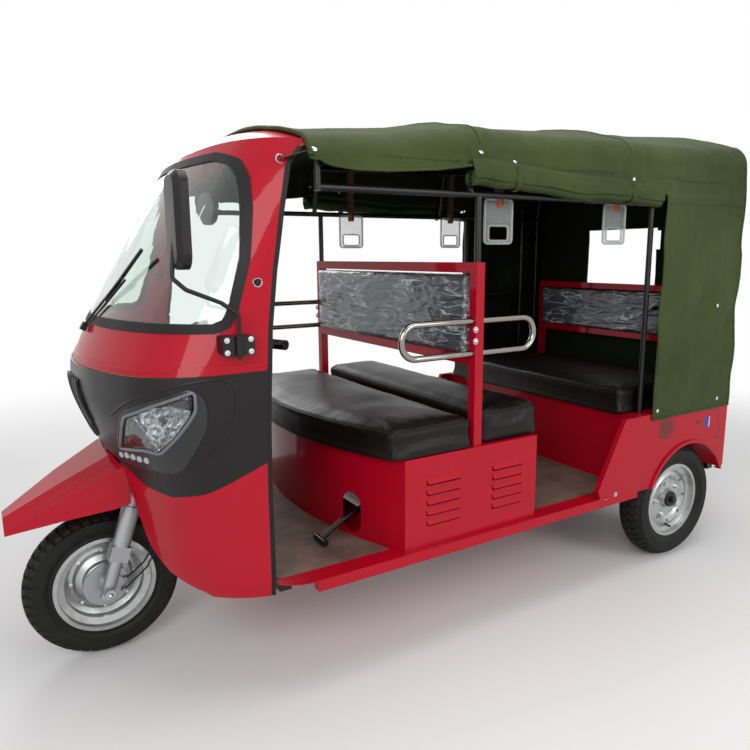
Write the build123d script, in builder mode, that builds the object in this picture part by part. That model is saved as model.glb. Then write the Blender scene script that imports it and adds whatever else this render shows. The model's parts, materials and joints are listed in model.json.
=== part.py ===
from build123d import *
from math import atan2, cos, degrees, radians, sin, tan
import os

os.makedirs("parts", exist_ok=True)

# Passenger motor tricycle, in millimetres. +X is forward, +Y is left, +Z is up.
# The origin lies on the floor under the middle of the vehicle.
# Stations along the vehicle are measured forward of the rear axle.

# Wheels and axles
rear_axle_x = -1127.5
wheelbase = 2330.0
rear_track = 1108.0
rear_tyre_r = 263.0
rear_tyre_w = 118.0
front_tyre_r = 257.0
front_tyre_w = 105.0
rim_r = 167.5
rim_w = 90.0
bead_drop = 7.0
well_drop = 32.0
running_gap = 0.5

# Steering
rake = 18.7
fork_offset = 50.0
fork_leg_y = 90.0
head_tube_low = 450.0
head_tube_high = 650.0
handlebar_height = 885.0

# Body heights and widths
floor_z = 385.0
sill_z = 347.0
body_half_w = 634.0
sheet = 3.0

# Driver's cab
cab_wall = 5.0
cab_rear_edge = 1560.0
side_toe_in = 8.0
nose_split_z = 1036.0
nose_split_rise = 13.0

# Seats
box_rear = 879.0
box_side_front = 1469.0
box_nose = 1602.0
box_half_w = 614.0
box_top_z = 704.0
cushion_half_w = 618.0
cushion_top_z = 812.0
frame_tube = 35.0
backrest_x = 1157.0
backrest_half_w = 604.0
backrest_top_z = 1341.0
rail_z = 990.0

# Rear body
bench_front_low = 300.0
bench_front_high = 340.0
bench_top_z = 700.0
tail_x = -300.0

# Canopy
canopy_half_w = 637.5
canopy_skin = 3.0
canopy_rear_x = -311.5
canopy_front_x = 1790.0
bow_tube_r = 11.0
post_y = 585.0
side_rail_z = 1562.0


def fwd(station):
    """Distance forward of the rear axle, in the vehicle's frame."""
    return rear_axle_x + station


def on_axis(s, y=0.0, ahead=0.0):
    """Point on the steering axis, s above its foot, moved sideways and ahead of the axis."""
    u = (-sin(radians(rake)), cos(radians(rake)))
    e = (cos(radians(rake)), sin(radians(rake)))
    foot_x = fwd(wheelbase) - fork_offset * e[0]
    foot_z = front_tyre_r - fork_offset * e[1]
    return (foot_x + s * u[0] + ahead * e[0], y, foot_z + s * u[1] + ahead * e[1])


steer_dir = (-sin(radians(rake)), 0, cos(radians(rake)))


def save(piece, name):
    """Label a finished piece and write it as a STEP file."""
    piece.part.label = name
    export_step(piece.part, "parts/" + name + ".step")


def tube_between(start, end, radius):
    """Round bar from one point to another, added to the open part."""
    a, b = Vector(*start), Vector(*end)
    with BuildSketch(Plane(origin=a, z_dir=(b - a).normalized())) as round_section:
        Circle(radius)
    extrude(round_section.sketch, amount=(b - a).length)


def bar_between(start, end, width, height):
    """Rectangular bar from one point to another; width runs across, height is the other way."""
    a, b = Vector(*start), Vector(*end)
    along = (b - a).normalized()
    across = Vector(0, 1, 0) if abs(along.Y) < 0.9 else Vector(1, 0, 0)
    with BuildSketch(Plane(origin=a, x_dir=across, z_dir=along)) as bar_section:
        Rectangle(width, height)
    extrude(bar_section.sketch, amount=(b - a).length)


# Tyres: a square-shouldered section turned about the axle
def tyre(name, station, y, outer_r, width):
    centre = (fwd(station), y, outer_r)
    half = width / 2
    foot = rim_w / 2 - 4
    # columns: distance from the middle plane, radius; one side from the bead to the crown
    flank = ((foot, rim_r - bead_drop), (foot, rim_r + 1), (half, (rim_r + outer_r) / 2),
             (half - 5, outer_r - 24), (half - 24, outer_r))
    with BuildPart() as piece:
        with BuildSketch(Plane(origin=centre, x_dir=(0, 1, 0), z_dir=(1, 0, 0))):
            with BuildLine():
                Polyline(*flank, *[(-w, r) for w, r in reversed(flank)], close=True)
            make_face()
        revolve(axis=Axis(centre, (0, 1, 0)))
    save(piece, name)


# Wheels: drop-centre rim, and a pressed disc in one with the brake drum and hub
disc_hole_r = 6.0
disc_hole_pitch_r = 105.0
disc_hole_count = 8


def wheel(name, station, y, centre_z, outward, drum_r, drum_w, shaft_r):
    centre = (fwd(station), y, centre_z)
    section = Plane(origin=centre, x_dir=(0, outward, 0), z_dir=(outward, 0, 0))
    half = rim_w / 2
    bead = rim_r - bead_drop
    well = rim_r - well_drop
    bore = shaft_r + running_gap
    # columns: distance outward from the middle plane, radius
    rim_section = (
        (half, rim_r), (half - 3, rim_r), (half - 3.8, bead - 0.2), (24, bead - 1), (18, well),
        (-18, well), (-24, bead - 1), (3.8 - half, bead - 0.2), (3 - half, rim_r), (-half, rim_r),
        (-half, bead - 6), (-26, bead - 8), (-20, well - 5), (20, well - 5), (26, bead - 8), (half, bead - 6),
    )
    disc_section = (
        (16, well - 4), (26, 112), (22, 98), (12, 88), (12, 46), (30, 40), (30, bore), (-drum_w, bore),
        (-drum_w, drum_r - 5), (4 - drum_w, drum_r), (-4, drum_r), (6, 91), (15, 101), (19, 114), (9, well - 4),
    )
    with BuildPart() as piece:
        for outline in (rim_section, disc_section):
            with BuildSketch(section):
                with BuildLine():
                    Polyline(*outline, close=True)
                make_face()
            revolve(axis=Axis(centre, (0, 1, 0)))
        with BuildSketch(Plane(origin=centre, x_dir=(1, 0, 0), z_dir=(0, outward, 0))):
            with PolarLocations(disc_hole_pitch_r, disc_hole_count):
                Circle(disc_hole_r)
        extrude(amount=half, mode=Mode.SUBTRACT)
    save(piece, name)


rear_wheel_y = rear_track / 2
tyre("front_tyre", wheelbase, 0.0, front_tyre_r, front_tyre_w)
tyre("rear_tyre_left", 0.0, rear_wheel_y, rear_tyre_r, rear_tyre_w)
tyre("rear_tyre_right", 0.0, -rear_wheel_y, rear_tyre_r, rear_tyre_w)
front_axle_r = 8.0
rear_stub_r = 16.0
wheel("front_rim", wheelbase, 0.0, front_tyre_r, -1, 72.0, 34.0, front_axle_r)
wheel("rear_rim_left", 0.0, rear_wheel_y, rear_tyre_r, 1, 100.0, 52.0, rear_stub_r)
wheel("rear_rim_right", 0.0, -rear_wheel_y, rear_tyre_r, -1, 100.0, 52.0, rear_stub_r)

# Fork: cast sliders on the front axle, each with its clamp and spring cup, and the leg tubes
slider_r = 22.0
leg_r = 16.0
cup_r = 31.0
cover_r = 26.0
clamp_low = 108.0
clamp_high = 160.0
cup_top = 300.0
clamp_size = (56.0, 62.0)
lower_yoke = (head_tube_low - 35.0, head_tube_low - 5.0)
upper_yoke = (head_tube_high + 5.0, head_tube_high + 27.0)
with BuildPart() as fork_legs:
    for side in (1, -1):
        y = side * fork_leg_y
        # columns: lower end, upper end, radius
        for low, high, radius in ((-26, clamp_high, slider_r), (clamp_low, upper_yoke[1], leg_r),
                                  (clamp_high, cup_top, cup_r), (cup_top, lower_yoke[0], cover_r)):
            tube_between(on_axis(low, y, fork_offset), on_axis(high, y, fork_offset), radius)
        bar_between(on_axis(clamp_low, y, fork_offset), on_axis(clamp_high, y, fork_offset), *clamp_size)
        tube_between((fwd(wheelbase), side * 60, front_tyre_r), (fwd(wheelbase), side * 124, front_tyre_r), 20)
    tube_between((fwd(wheelbase), -130, front_tyre_r), (fwd(wheelbase), 130, front_tyre_r), front_axle_r)
save(fork_legs, "fork_legs")

# Front brake plate: closes the drum on the left, with the lever and the bosses that hold the cables
plate_in = 40.0
plate_out = 47.0
cable_r = 3.0
boss_r = 7.0
boss_w = 14.0
# Route of each cable from its boss: back past the rim, up beside the tyre, to the lower yoke
# columns: the boss, past the rim, beside the tyre (station, y, height), then y and distance ahead at the yoke
cable_routes = (
    ((2262, 55, 270), (2205, 68, 318), (2150, 76, 400), (70, 8)),
    ((2270, 57, 232), (2196, 72, 298), (2138, 84, 404), (84, 16)),
)


def cable_points(route):
    """Points of a cable in the vehicle's frame, from its boss to the underside of the lower yoke."""
    y, ahead = route[3]
    return [(fwd(x), w, z) for x, w, z in route[:3]] + [on_axis(lower_yoke[0], y, ahead)]


with BuildPart() as front_brake_plate:
    tube_between((fwd(wheelbase), plate_in, front_tyre_r), (fwd(wheelbase), plate_out, front_tyre_r), 74)
    tube_between((fwd(wheelbase), plate_out, front_tyre_r), (fwd(wheelbase), 60, front_tyre_r), 24)
    bar_between((fwd(2312), plate_out + 5, 296), (fwd(2276), plate_out + 5, 262), 10, 16)
    for route in cable_routes:
        root, onward = [Vector(*point) for point in cable_points(route)[:2]]
        back = (root - onward).normalized()
        tube_between(root, root + back * boss_w, boss_r)
        tube_between(root + back * (boss_w - 4), (root.X + back.X * 10, plate_out - 1, root.Z + back.Z * 10), 4)
    with BuildSketch(Plane(origin=(fwd(wheelbase), plate_in - 1, front_tyre_r), z_dir=(0, 1, 0))):
        Circle(front_axle_r + 0.3)
    extrude(amount=22, mode=Mode.SUBTRACT)
save(front_brake_plate, "front_brake_plate")

# Brake and speedometer cables, which turn with the fork
with BuildPart() as front_cables:
    for route in cable_routes:
        with BuildLine() as cable_path:
            FilletPolyline(*cable_points(route), radius=45)
        with BuildSketch(Plane(origin=cable_path.line @ 0, z_dir=cable_path.line % 0)):
            Circle(cable_r)
        sweep(path=cable_path.line)
save(front_cables, "front_cables")

# Steering stem: yokes and the tube that turns in the head tube
stem_r = 14.0
with BuildPart() as steering_stem:
    tube_between(on_axis(lower_yoke[0]), on_axis(handlebar_height), stem_r)
    for low, high in (lower_yoke, upper_yoke):
        with BuildSketch(Plane(origin=on_axis(low), x_dir=(0, 1, 0), z_dir=steer_dir)):
            with BuildLine():
                tip = fork_leg_y + 28
                half_yoke = ((36, 30), (tip, 24 - fork_offset), (tip, -fork_offset - 20))
                Polyline(*half_yoke, *[(-w, d) for w, d in reversed(half_yoke)], close=True)
            make_face()
            with Locations((fork_leg_y, -fork_offset), (-fork_leg_y, -fork_offset)):
                Circle(leg_r, mode=Mode.SUBTRACT)
        extrude(amount=high - low)
save(steering_stem, "steering_stem")

# Handlebar: one bent tube on the stem, with grips and a clock pod
bar_r = 11.0
grip_r = 16.0
grip_end = (fwd(1797), 430.0, 1092.0)
grip_root = (fwd(1868), 300.0, 1095.0)
lever_gap = 34.0
lever_reach = 0.88
bar_mid = on_axis(handlebar_height)
with BuildPart() as handlebar:
    with BuildLine() as bar_path:
        FilletPolyline(
            grip_end, grip_root, (bar_mid[0], 80, bar_mid[2]), (bar_mid[0], -80, bar_mid[2]),
            (grip_root[0], -grip_root[1], grip_root[2]), (grip_end[0], -grip_end[1], grip_end[2]),
            radius=45,
        )
    start = bar_path.line @ 0
    with BuildSketch(Plane(origin=start, z_dir=bar_path.line % 0)):
        Circle(bar_r)
    sweep(path=bar_path.line)
    for side in (1, -1):
        tube_between((grip_end[0], side * grip_end[1], grip_end[2]),
                     (grip_root[0], side * grip_root[1], grip_root[2]), grip_r)
        # Hand lever on its perch, beside the grip
        root = Vector(grip_root[0], side * grip_root[1], grip_root[2])
        along = Vector(grip_end[0] - grip_root[0], side * (grip_end[1] - grip_root[1]), 0)
        ahead = along.normalized().rotate(Axis.Z, -90 * side) * lever_gap
        perch = root - along.normalized() * 22
        bar_between(perch, perch + ahead * 1.15, 22, 18)
        tube_between(perch + ahead, root + ahead + along * lever_reach, 5)
    with BuildSketch(Plane(origin=on_axis(handlebar_height - 20), x_dir=(0, 1, 0), z_dir=steer_dir)):
        RectangleRounded(110, 56, 12)
    extrude(amount=40)
    with BuildSketch(Plane(origin=on_axis(handlebar_height - 40), z_dir=steer_dir)):
        Circle(stem_r)
    extrude(amount=80, mode=Mode.SUBTRACT)
save(handlebar, "handlebar")


# Cab shell: plan sections of a front arc, two corner arcs and two toed-in sides
def cab_outline(nose, corner_x, corner_y, corner_r, rear_x):
    """Closed plan outline, drawn in the open line builder. Lengths are stations."""
    half = 2 * atan2(nose - corner_x, corner_y)
    heading = 90 + degrees(half)
    turn = 180 - side_toe_in - heading
    start = (fwd(corner_x), corner_y)
    tangent = (cos(radians(heading)), sin(radians(heading)))
    left = JernArc(start=start, tangent=tangent, radius=corner_r, arc_size=turn)
    end = left @ 1
    slope = tan(radians(side_toe_in))
    back = (fwd(rear_x), end.Y + (end.X - fwd(rear_x)) * slope)
    Line(end, back)
    ThreePointArc((fwd(corner_x), -corner_y), (fwd(nose), 0), (fwd(corner_x), corner_y))
    JernArc(start=(fwd(corner_x), -corner_y), tangent=(tangent[0], -tangent[1]),
            radius=corner_r, arc_size=-turn)
    Line((end.X, -end.Y), (back[0], -back[1]))
    Line((back[0], -back[1]), back)


# columns: height, nose station, corner station, corner half width, corner radius
lower_sections = (
    (345.0, 2240.0, 2145.0, 400.0, 330.0),
    (550.0, 2272.0, 2185.0, 400.0, 320.0),
    (750.0, 2300.0, 2215.0, 400.0, 312.0),
    (900.0, 2352.0, 2266.0, 400.0, 305.0),
    (1060.0, 2358.0, 2273.0, 400.0, 303.0),
)
upper_sections = (
    (1020.0, 2365.0, 2280.0, 400.0, 303.0),
    (1165.0, 2301.0, 2216.0, 400.0, 303.0),
    (1640.0, 2020.0, 1955.0, 400.0, 283.0),
    (1860.0, 1890.0, 1834.0, 400.0, 272.0),
)
# columns: station, edge height, crown height
roof_sections = (
    (1600.0, 1700.0, 1826.0),
    (1800.0, 1680.0, 1776.0),
    (1940.0, 1662.0, 1723.0),
    (2060.0, 1600.0, 1630.0),
    (2480.0, 1330.0, 1360.0),
)


def cab_loft(sections, inset, ruled):
    """Solid of the cab's plan sections, pulled in by inset on the outside faces."""
    plans = []
    for z, nose, corner_x, corner_y, corner_r in sections:
        with BuildSketch(Plane.XY.offset(z)) as plan:
            with BuildLine():
                rear = cab_rear_edge - (0 if inset == 0 else 60)
                cab_outline(nose - inset, corner_x - inset, corner_y, corner_r - inset, rear)
            make_face()
        plans.append(plan.sketch)
    loft(plans, ruled=ruled)


def roof_loft(drop):
    """Solid below the crowned roof surface, lowered by drop."""
    ribs = []
    for station, edge_z, crown_z in roof_sections:
        with BuildSketch(Plane(origin=(fwd(station), 0, 0), x_dir=(0, 1, 0), z_dir=(1, 0, 0))) as rib:
            with BuildLine():
                ThreePointArc((-700, edge_z - 34 - drop), (0, crown_z - drop), (700, edge_z - 34 - drop))
                Polyline((700, edge_z - 34 - drop), (700, 900), (-700, 900), (-700, edge_z - 34 - drop))
            make_face()
        ribs.append(rib.sketch)
    loft(ribs)


def side_region(points, reach=800.0, mode=Mode.ADD):
    """Prism through the whole width from a side view outline of stations and heights."""
    with BuildSketch(Plane(origin=(0, reach, 0), x_dir=(1, 0, 0), z_dir=(0, -1, 0))) as outline:
        with BuildLine():
            Polyline(*[(fwd(x), z) for x, z in points], close=True)
        make_face()
    extrude(outline.sketch, amount=2 * reach, mode=mode)


def cab_shell(sections, ruled, outer=0.0, inner=cab_wall):
    """Wall of the cab between two insets, as a loose solid for the panels to be cut from."""
    with BuildPart() as outside:
        cab_loft(sections, outer, ruled)
    with BuildPart() as inside:
        cab_loft(sections, inner, ruled)
    with BuildPart() as wall:
        add(outside.part)
        add(inside.part, mode=Mode.SUBTRACT)
    return wall.part


# Rear edge of the cab wall seen from the side: station, height, from the sill to the roof
door_edge = ((1933, 330), (1936, 664), (1934, 876), (1928, 1022), (1917, 1164),
             (1895, 1330), (1865, 1493), (1836, 1622), (1800, 1672))
behind_door_edge = door_edge + ((1690, 1690), (1690, 1950), (1200, 1950), (1200, 330))
# Lower border of the black nose panel: station, height
nose_border = ((1900, 790), (2010, 740), (2100, 690), (2180, 668), (2230, 680), (2290, 745), (2420, 770))
split_line = ((1500, nose_split_z + nose_split_rise), (1900, nose_split_z + nose_split_rise),
              (2420, nose_split_z - 3))

with BuildPart() as behind_door:
    side_region(behind_door_edge)
with BuildPart() as below_border:
    side_region(nose_border + ((2420, 300), (1900, 300)))
with BuildPart() as above_split:
    side_region(split_line + ((2420, 1950), (1500, 1950)))
lower_wall = cab_shell(lower_sections, False)
upper_wall = cab_shell(upper_sections, True)

# Red lower cab: leg shield with the arch for the front wheel
# columns: half width, height of the arch edge
arch_profile = ((190, 760), (205, 650), (245, 560), (300, 470), (370, 405), (470, 360), (520, 300))
arch_flange_w = 22.0
with BuildPart() as arch_flange:
    add(cab_shell(lower_sections, False, 0.0, arch_flange_w))
    with BuildSketch(Plane(origin=(fwd(2060), 0, 0), x_dir=(0, 1, 0), z_dir=(1, 0, 0))):
        with BuildLine():
            Polyline(*arch_profile, *[(-y, z) for y, z in reversed(arch_profile)], close=True)
        make_face()
        offset(amount=cab_wall)
    extrude(amount=400, mode=Mode.INTERSECT)
with BuildPart() as cab_lower:
    add(lower_wall)
    add(arch_flange.part)
    add(below_border.part, mode=Mode.INTERSECT)
    add(behind_door.part, mode=Mode.SUBTRACT)
    with BuildSketch(Plane(origin=(fwd(2060), 0, 0), x_dir=(0, 1, 0), z_dir=(1, 0, 0))):
        with BuildLine():
            Polyline(*arch_profile, *[(-y, z) for y, z in reversed(arch_profile)], close=True)
        make_face()
    extrude(amount=400, mode=Mode.SUBTRACT)
save(cab_lower, "cab_lower")

# Lamp outline seen from the front and the grille opening
lamp_outline = ((365, 925), (520, 962), (560, 940), (545, 860), (470, 770), (340, 800), (335, 880))
lamp_corner_r = 22.0
grille_corner_r = 14.0
with BuildPart() as lamp_cut:
    with BuildSketch(Plane(origin=(fwd(2000), 0, 0), x_dir=(0, 1, 0), z_dir=(1, 0, 0))) as lamp_sketch:
        with BuildLine():
            Polyline(*lamp_outline, close=True)
        make_face()
        fillet(lamp_sketch.vertices(), lamp_corner_r)
    extrude(amount=500)
    mirror(about=Plane.XZ)
with BuildPart() as grille_cut:
    with BuildSketch(Plane(origin=(fwd(2200), 0, 0), x_dir=(0, 1, 0), z_dir=(1, 0, 0))) as grille_sketch:
        with BuildLine():
            Polyline((-150, 1005), (150, 1005), (140, 900), (75, 770), (-75, 770), (-140, 900), close=True)
        make_face()
        fillet(grille_sketch.vertices(), grille_corner_r)
    extrude(amount=300)

# Black nose panel between the two borders
with BuildPart() as nose_panel:
    add(lower_wall)
    add(below_border.part, mode=Mode.SUBTRACT)
    add(above_split.part, mode=Mode.SUBTRACT)
    add(behind_door.part, mode=Mode.SUBTRACT)
    add(lamp_cut.part, mode=Mode.SUBTRACT)
    add(grille_cut.part, mode=Mode.SUBTRACT)
save(nose_panel, "nose_panel")

# Grille: upright bars in a frame, set into the nose panel
with BuildPart() as nose_grille:
    add(lower_wall)
    add(grille_cut.part, mode=Mode.INTERSECT)
    with BuildSketch(Plane(origin=(fwd(2200), 0, 0), x_dir=(0, 1, 0), z_dir=(1, 0, 0))):
        with Locations(*[(y, 890) for y in range(-96, 97, 32)]):
            SlotOverall(180, 14, rotation=90)
    extrude(amount=300, mode=Mode.SUBTRACT)
save(nose_grille, "nose_grille")

# Headlamps: clear lens over a bowl that closes the opening
with BuildPart() as headlamps:
    add(cab_shell(lower_sections, False, 0.0, 14.0))
    add(lamp_cut.part, mode=Mode.INTERSECT)
save(headlamps, "headlamps")

seal_proud = 4.0

# Windscreen opening, the glass and the rubber around it, seen from the side
glass_low = 1158.0
glass_high = 1675.0
# station, height: rear edge of the rubber from the bottom up
screen_edge = ((2420, glass_low), (2060, glass_low), (2020, 1175), (1998, 1215), (1953, 1358),
               (1930, 1500), (1922, 1590), (1930, 1640), (1960, glass_high), (2420, glass_high))
seal_w = 26.0
with BuildPart() as screen_cut:
    side_region(screen_edge)
with BuildPart() as glass_cut:
    with BuildSketch(Plane(origin=(0, 800, 0), x_dir=(1, 0, 0), z_dir=(0, -1, 0))):
        with BuildLine():
            Polyline(*[(fwd(x), z) for x, z in screen_edge], close=True)
        make_face()
        offset(amount=-seal_w, kind=Kind.INTERSECTION)
        with BuildLine():
            Polyline((fwd(2300), glass_low + seal_w), (fwd(2600), glass_low + seal_w),
                     (fwd(2600), glass_high - seal_w), (fwd(2300), glass_high - seal_w), close=True)
        make_face()
    extrude(amount=1600)
with BuildPart() as roof_outside:
    roof_loft(0)
with BuildPart() as roof_inside:
    roof_loft(cab_wall)
with BuildPart() as upper_outside:
    cab_loft(upper_sections, 0, True)
with BuildPart() as upper_inside:
    cab_loft(upper_sections, cab_wall, True)

with BuildPart() as upper_hollow:
    add(upper_inside.part)
    add(roof_inside.part, mode=Mode.INTERSECT)

# Pressed bead that runs round the cowl above the nose panel
bead_lift = 14.0
bead_h = 11.0
bead_proud = 3.0
with BuildPart() as bead_ring:
    add(cab_shell(upper_sections, True, -bead_proud, cab_wall / 2))
    side_region([(x, z + bead_lift) for x, z in split_line]
                + [(x, z + bead_lift + bead_h) for x, z in reversed(split_line)], mode=Mode.INTERSECT)
bead_band = bead_ring.part
# Hole through each pillar: station, height
pillar_hole = (1943.0, 1298.0)
pillar_hole_r = 8.0

# Red upper cab: cowl, pillars and crowned roof
with BuildPart() as cab_upper:
    add(upper_outside.part)
    add(roof_outside.part, mode=Mode.INTERSECT)
    add(above_split.part, mode=Mode.INTERSECT)
    add(upper_hollow.part, mode=Mode.SUBTRACT)
    add(bead_band)
    add(behind_door.part, mode=Mode.SUBTRACT)
    add(screen_cut.part, mode=Mode.SUBTRACT)
    with BuildSketch(Plane(origin=(fwd(pillar_hole[0]), 700, pillar_hole[1]), x_dir=(1, 0, 0), z_dir=(0, -1, 0))):
        Circle(pillar_hole_r)
    extrude(amount=1400, mode=Mode.SUBTRACT)
save(cab_upper, "cab_upper")

# Windscreen glass and the rubber that holds it
with BuildPart() as windscreen:
    add(upper_wall)
    add(glass_cut.part, mode=Mode.INTERSECT)
save(windscreen, "windscreen")
with BuildPart() as windscreen_seal:
    add(cab_shell(upper_sections, True, -seal_proud, cab_wall + seal_proud))
    add(screen_cut.part, mode=Mode.INTERSECT)
    add(glass_cut.part, mode=Mode.SUBTRACT)
save(windscreen_seal, "windscreen_seal")

# Black edge strips on the rear edges of the cab wall
trim_w = 14.0
with BuildPart() as door_trims:
    add(upper_wall)
    add(lower_wall)
    add(behind_door.part, mode=Mode.INTERSECT)
    with BuildSketch(Plane(origin=(0, 800, 0), x_dir=(1, 0, 0), z_dir=(0, -1, 0))):
        with BuildLine():
            edge = [(fwd(x), z) for x, z in door_edge]
            Polyline(*edge, *[(x - trim_w, z) for x, z in reversed(edge)], close=True)
        make_face()
    extrude(amount=1600, mode=Mode.INTERSECT)
save(door_trims, "door_trims")

# Beak mudguard over the front wheel, fixed to the nose
# columns: station, half width, side foot height, shoulder height, top height, top half width
beak_sections = (
    (2240.0, 200.0, 590.0, 722.0, 752.0, 120.0),
    (2300.0, 192.0, 575.0, 700.0, 733.0, 112.0),
    (2450.0, 150.0, 552.0, 620.0, 655.0, 80.0),
    (2615.0, 62.0, 506.0, 520.0, 558.0, 32.0),
)


def beak_loft(inset):
    ribs = []
    for station, half_w, foot_z, shoulder_z, top_z, top_w in beak_sections:
        x = station - (inset if station > 2600 else 0) - (20 if inset and station < 2250 else 0)
        with BuildSketch(Plane(origin=(fwd(x), 0, 0), x_dir=(0, 1, 0), z_dir=(1, 0, 0))) as rib:
            with BuildLine():
                side, low, top = half_w - inset, foot_z - 8 * inset, top_z - inset
                left = [(side, low), (side, shoulder_z - inset), (top_w - inset / 2, top)]
                Polyline(*left, *[(-y, z) for y, z in reversed(left)], close=True)
            make_face()
        ribs.append(rib.sketch)
    loft(ribs, ruled=True)


with BuildPart() as nose_solid:
    cab_loft(lower_sections, 0, False)
with BuildPart() as beak_hollow:
    beak_loft(4.0)
with BuildPart() as beak_fender:
    beak_loft(0.0)
    add(beak_hollow.part, mode=Mode.SUBTRACT)
    add(nose_solid.part, mode=Mode.SUBTRACT)
save(beak_fender, "beak_fender")

# Inner leg shield: upright panel in front of the driver's feet, and the sloping panel over it
shield_x = 1985.0
shield_top = 860.0
dash_x = 2170.0
dash_z = 1030.0
lining = 6.0
with BuildPart() as lower_inside:
    cab_loft(lower_sections, cab_wall + 0.6, False)
with BuildPart() as inner_leg_shield:
    side_region(((shield_x, floor_z), (shield_x + lining, floor_z),
                 (shield_x + lining, shield_top - 2), (dash_x + 2, dash_z - lining),
                 (2420, dash_z - lining), (2420, dash_z), (dash_x, dash_z), (shield_x, shield_top)))
    add(lower_inside.part, mode=Mode.INTERSECT)
    with BuildSketch(Plane(origin=on_axis(600), z_dir=steer_dir)):
        SlotCenterToCenter(70, 150)
    extrude(amount=260, mode=Mode.SUBTRACT)
save(inner_leg_shield, "inner_leg_shield")

# Chassis: two long rails, cross members, neck and head tube
rail_y = 260.0
rail_w = 40.0
rail_h = 60.0
rail_top = floor_z - sheet
frame_rear = -360.0
frame_front = 1900.0
member_stations = (-330.0, 320.0, 860.0, 1440.0, 1880.0)
neck_low = (fwd(1870), 0, rail_top - rail_h / 2)
neck_foot = (fwd(2022), 0, rail_top - rail_h / 2)
neck_bend = (fwd(2036), 0, 690.0)
head_r = 27.0
with BuildPart() as chassis_frame:
    for side in (1, -1):
        bar_between((fwd(frame_rear), side * rail_y, rail_top - rail_h / 2),
                    (fwd(frame_front), side * rail_y, rail_top - rail_h / 2), rail_w, rail_h)
    for station in member_stations:
        bar_between((fwd(station), -560, rail_top - 20), (fwd(station), 560, rail_top - 20), 40, 40)
    bar_between(neck_low, (neck_foot[0] + 25, 0, neck_foot[2]), 60, 50)
    bar_between((neck_foot[0], 0, neck_foot[2] - 20), neck_bend, 60, 50)
    bar_between((neck_bend[0], 0, neck_bend[2] - 25), on_axis(head_tube_low + 110), 60, 50)
    bar_between(neck_bend, on_axis(head_tube_high - 40), 50, 40)
    tube_between(on_axis(head_tube_low), on_axis(head_tube_high), head_r)
    with BuildSketch(Plane(origin=on_axis(head_tube_low - 60), z_dir=steer_dir)):
        Circle(stem_r + running_gap)
    extrude(amount=head_tube_high - head_tube_low + 120, mode=Mode.SUBTRACT)
save(chassis_frame, "chassis_frame")

# Floor: pressed sheet with side sills, open over the engine, rounded at the front corners
sill_w = 34.0
floor_front = 1914.0
engine_hole = (960.0, 1400.0, 235.0)
with BuildPart() as floor_pan:
    with BuildSketch(Plane.XY.offset(rail_top)):
        with BuildLine():
            Polyline((fwd(bench_front_low), -body_half_w), (fwd(1800), -body_half_w))
            ThreePointArc((fwd(1800), -body_half_w), (fwd(1868), -621), (fwd(floor_front), -586))
            Polyline((fwd(floor_front), -586), (fwd(floor_front), -562), (fwd(shield_x + lining), -545),
                     (fwd(shield_x + lining), 545), (fwd(floor_front), 562), (fwd(floor_front), 586))
            ThreePointArc((fwd(floor_front), 586), (fwd(1868), 621), (fwd(1800), body_half_w))
            Polyline((fwd(1800), body_half_w), (fwd(bench_front_low), body_half_w),
                     (fwd(bench_front_low), -body_half_w))
        make_face()
    extrude(amount=sheet)
    for side in (1, -1):
        with BuildSketch(Plane.XY.offset(sill_z)):
            with Locations((fwd((bench_front_low + 1800) / 2), side * (body_half_w - sill_w / 2))):
                Rectangle(1800 - bench_front_low, sill_w)
        extrude(amount=rail_top - sill_z)
    hole_rear, hole_front, hole_y = engine_hole
    with BuildSketch(Plane.XY.offset(rail_top - 1)):
        with Locations((fwd((hole_rear + hole_front) / 2), 0)):
            Rectangle(hole_front - hole_rear, 2 * hole_y)
    extrude(amount=sheet + 2, mode=Mode.SUBTRACT)
save(floor_pan, "floor_pan")

# Mats on the two footwell floors
mat = 4.0
with BuildPart() as floor_mats:
    with BuildSketch(Plane.XY.offset(floor_z)):
        with Locations((fwd(1775), 0)):
            Rectangle(260, 1120)
        with BuildLine():
            ThreePointArc((fwd(1502), -560), (fwd(box_nose + 6), 0), (fwd(1502), 560))
            Polyline((fwd(1502), 560), (fwd(1700), 560), (fwd(1700), -560), (fwd(1502), -560))
        make_face()
        with Locations((fwd((bench_front_low + 20 + box_rear) / 2 - 4), 0)):
            Rectangle(box_rear - bench_front_low - 34, 1130)
    extrude(amount=mat)
save(floor_mats, "floor_mats")


# Driver's seat box: sheet box with a bowed front, louvred sides and a slot for the lever
def box_plan(inset):
    """Plan of the seat box, drawn in the open line builder."""
    half = box_half_w - inset
    ThreePointArc((fwd(box_side_front - inset), -half), (fwd(box_nose - inset), 0),
                  (fwd(box_side_front - inset), half))
    Polyline((fwd(box_side_front - inset), half), (fwd(box_rear + inset), half),
             (fwd(box_rear + inset), -half), (fwd(box_side_front - inset), -half))


louvre_w = 145.0
louvre_h = 12.0
louvre_pitch = 36.0
louvre_count = 5
louvre_mid_z = 535.0
louvre_stations = (1308.0, 1020.0)
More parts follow.
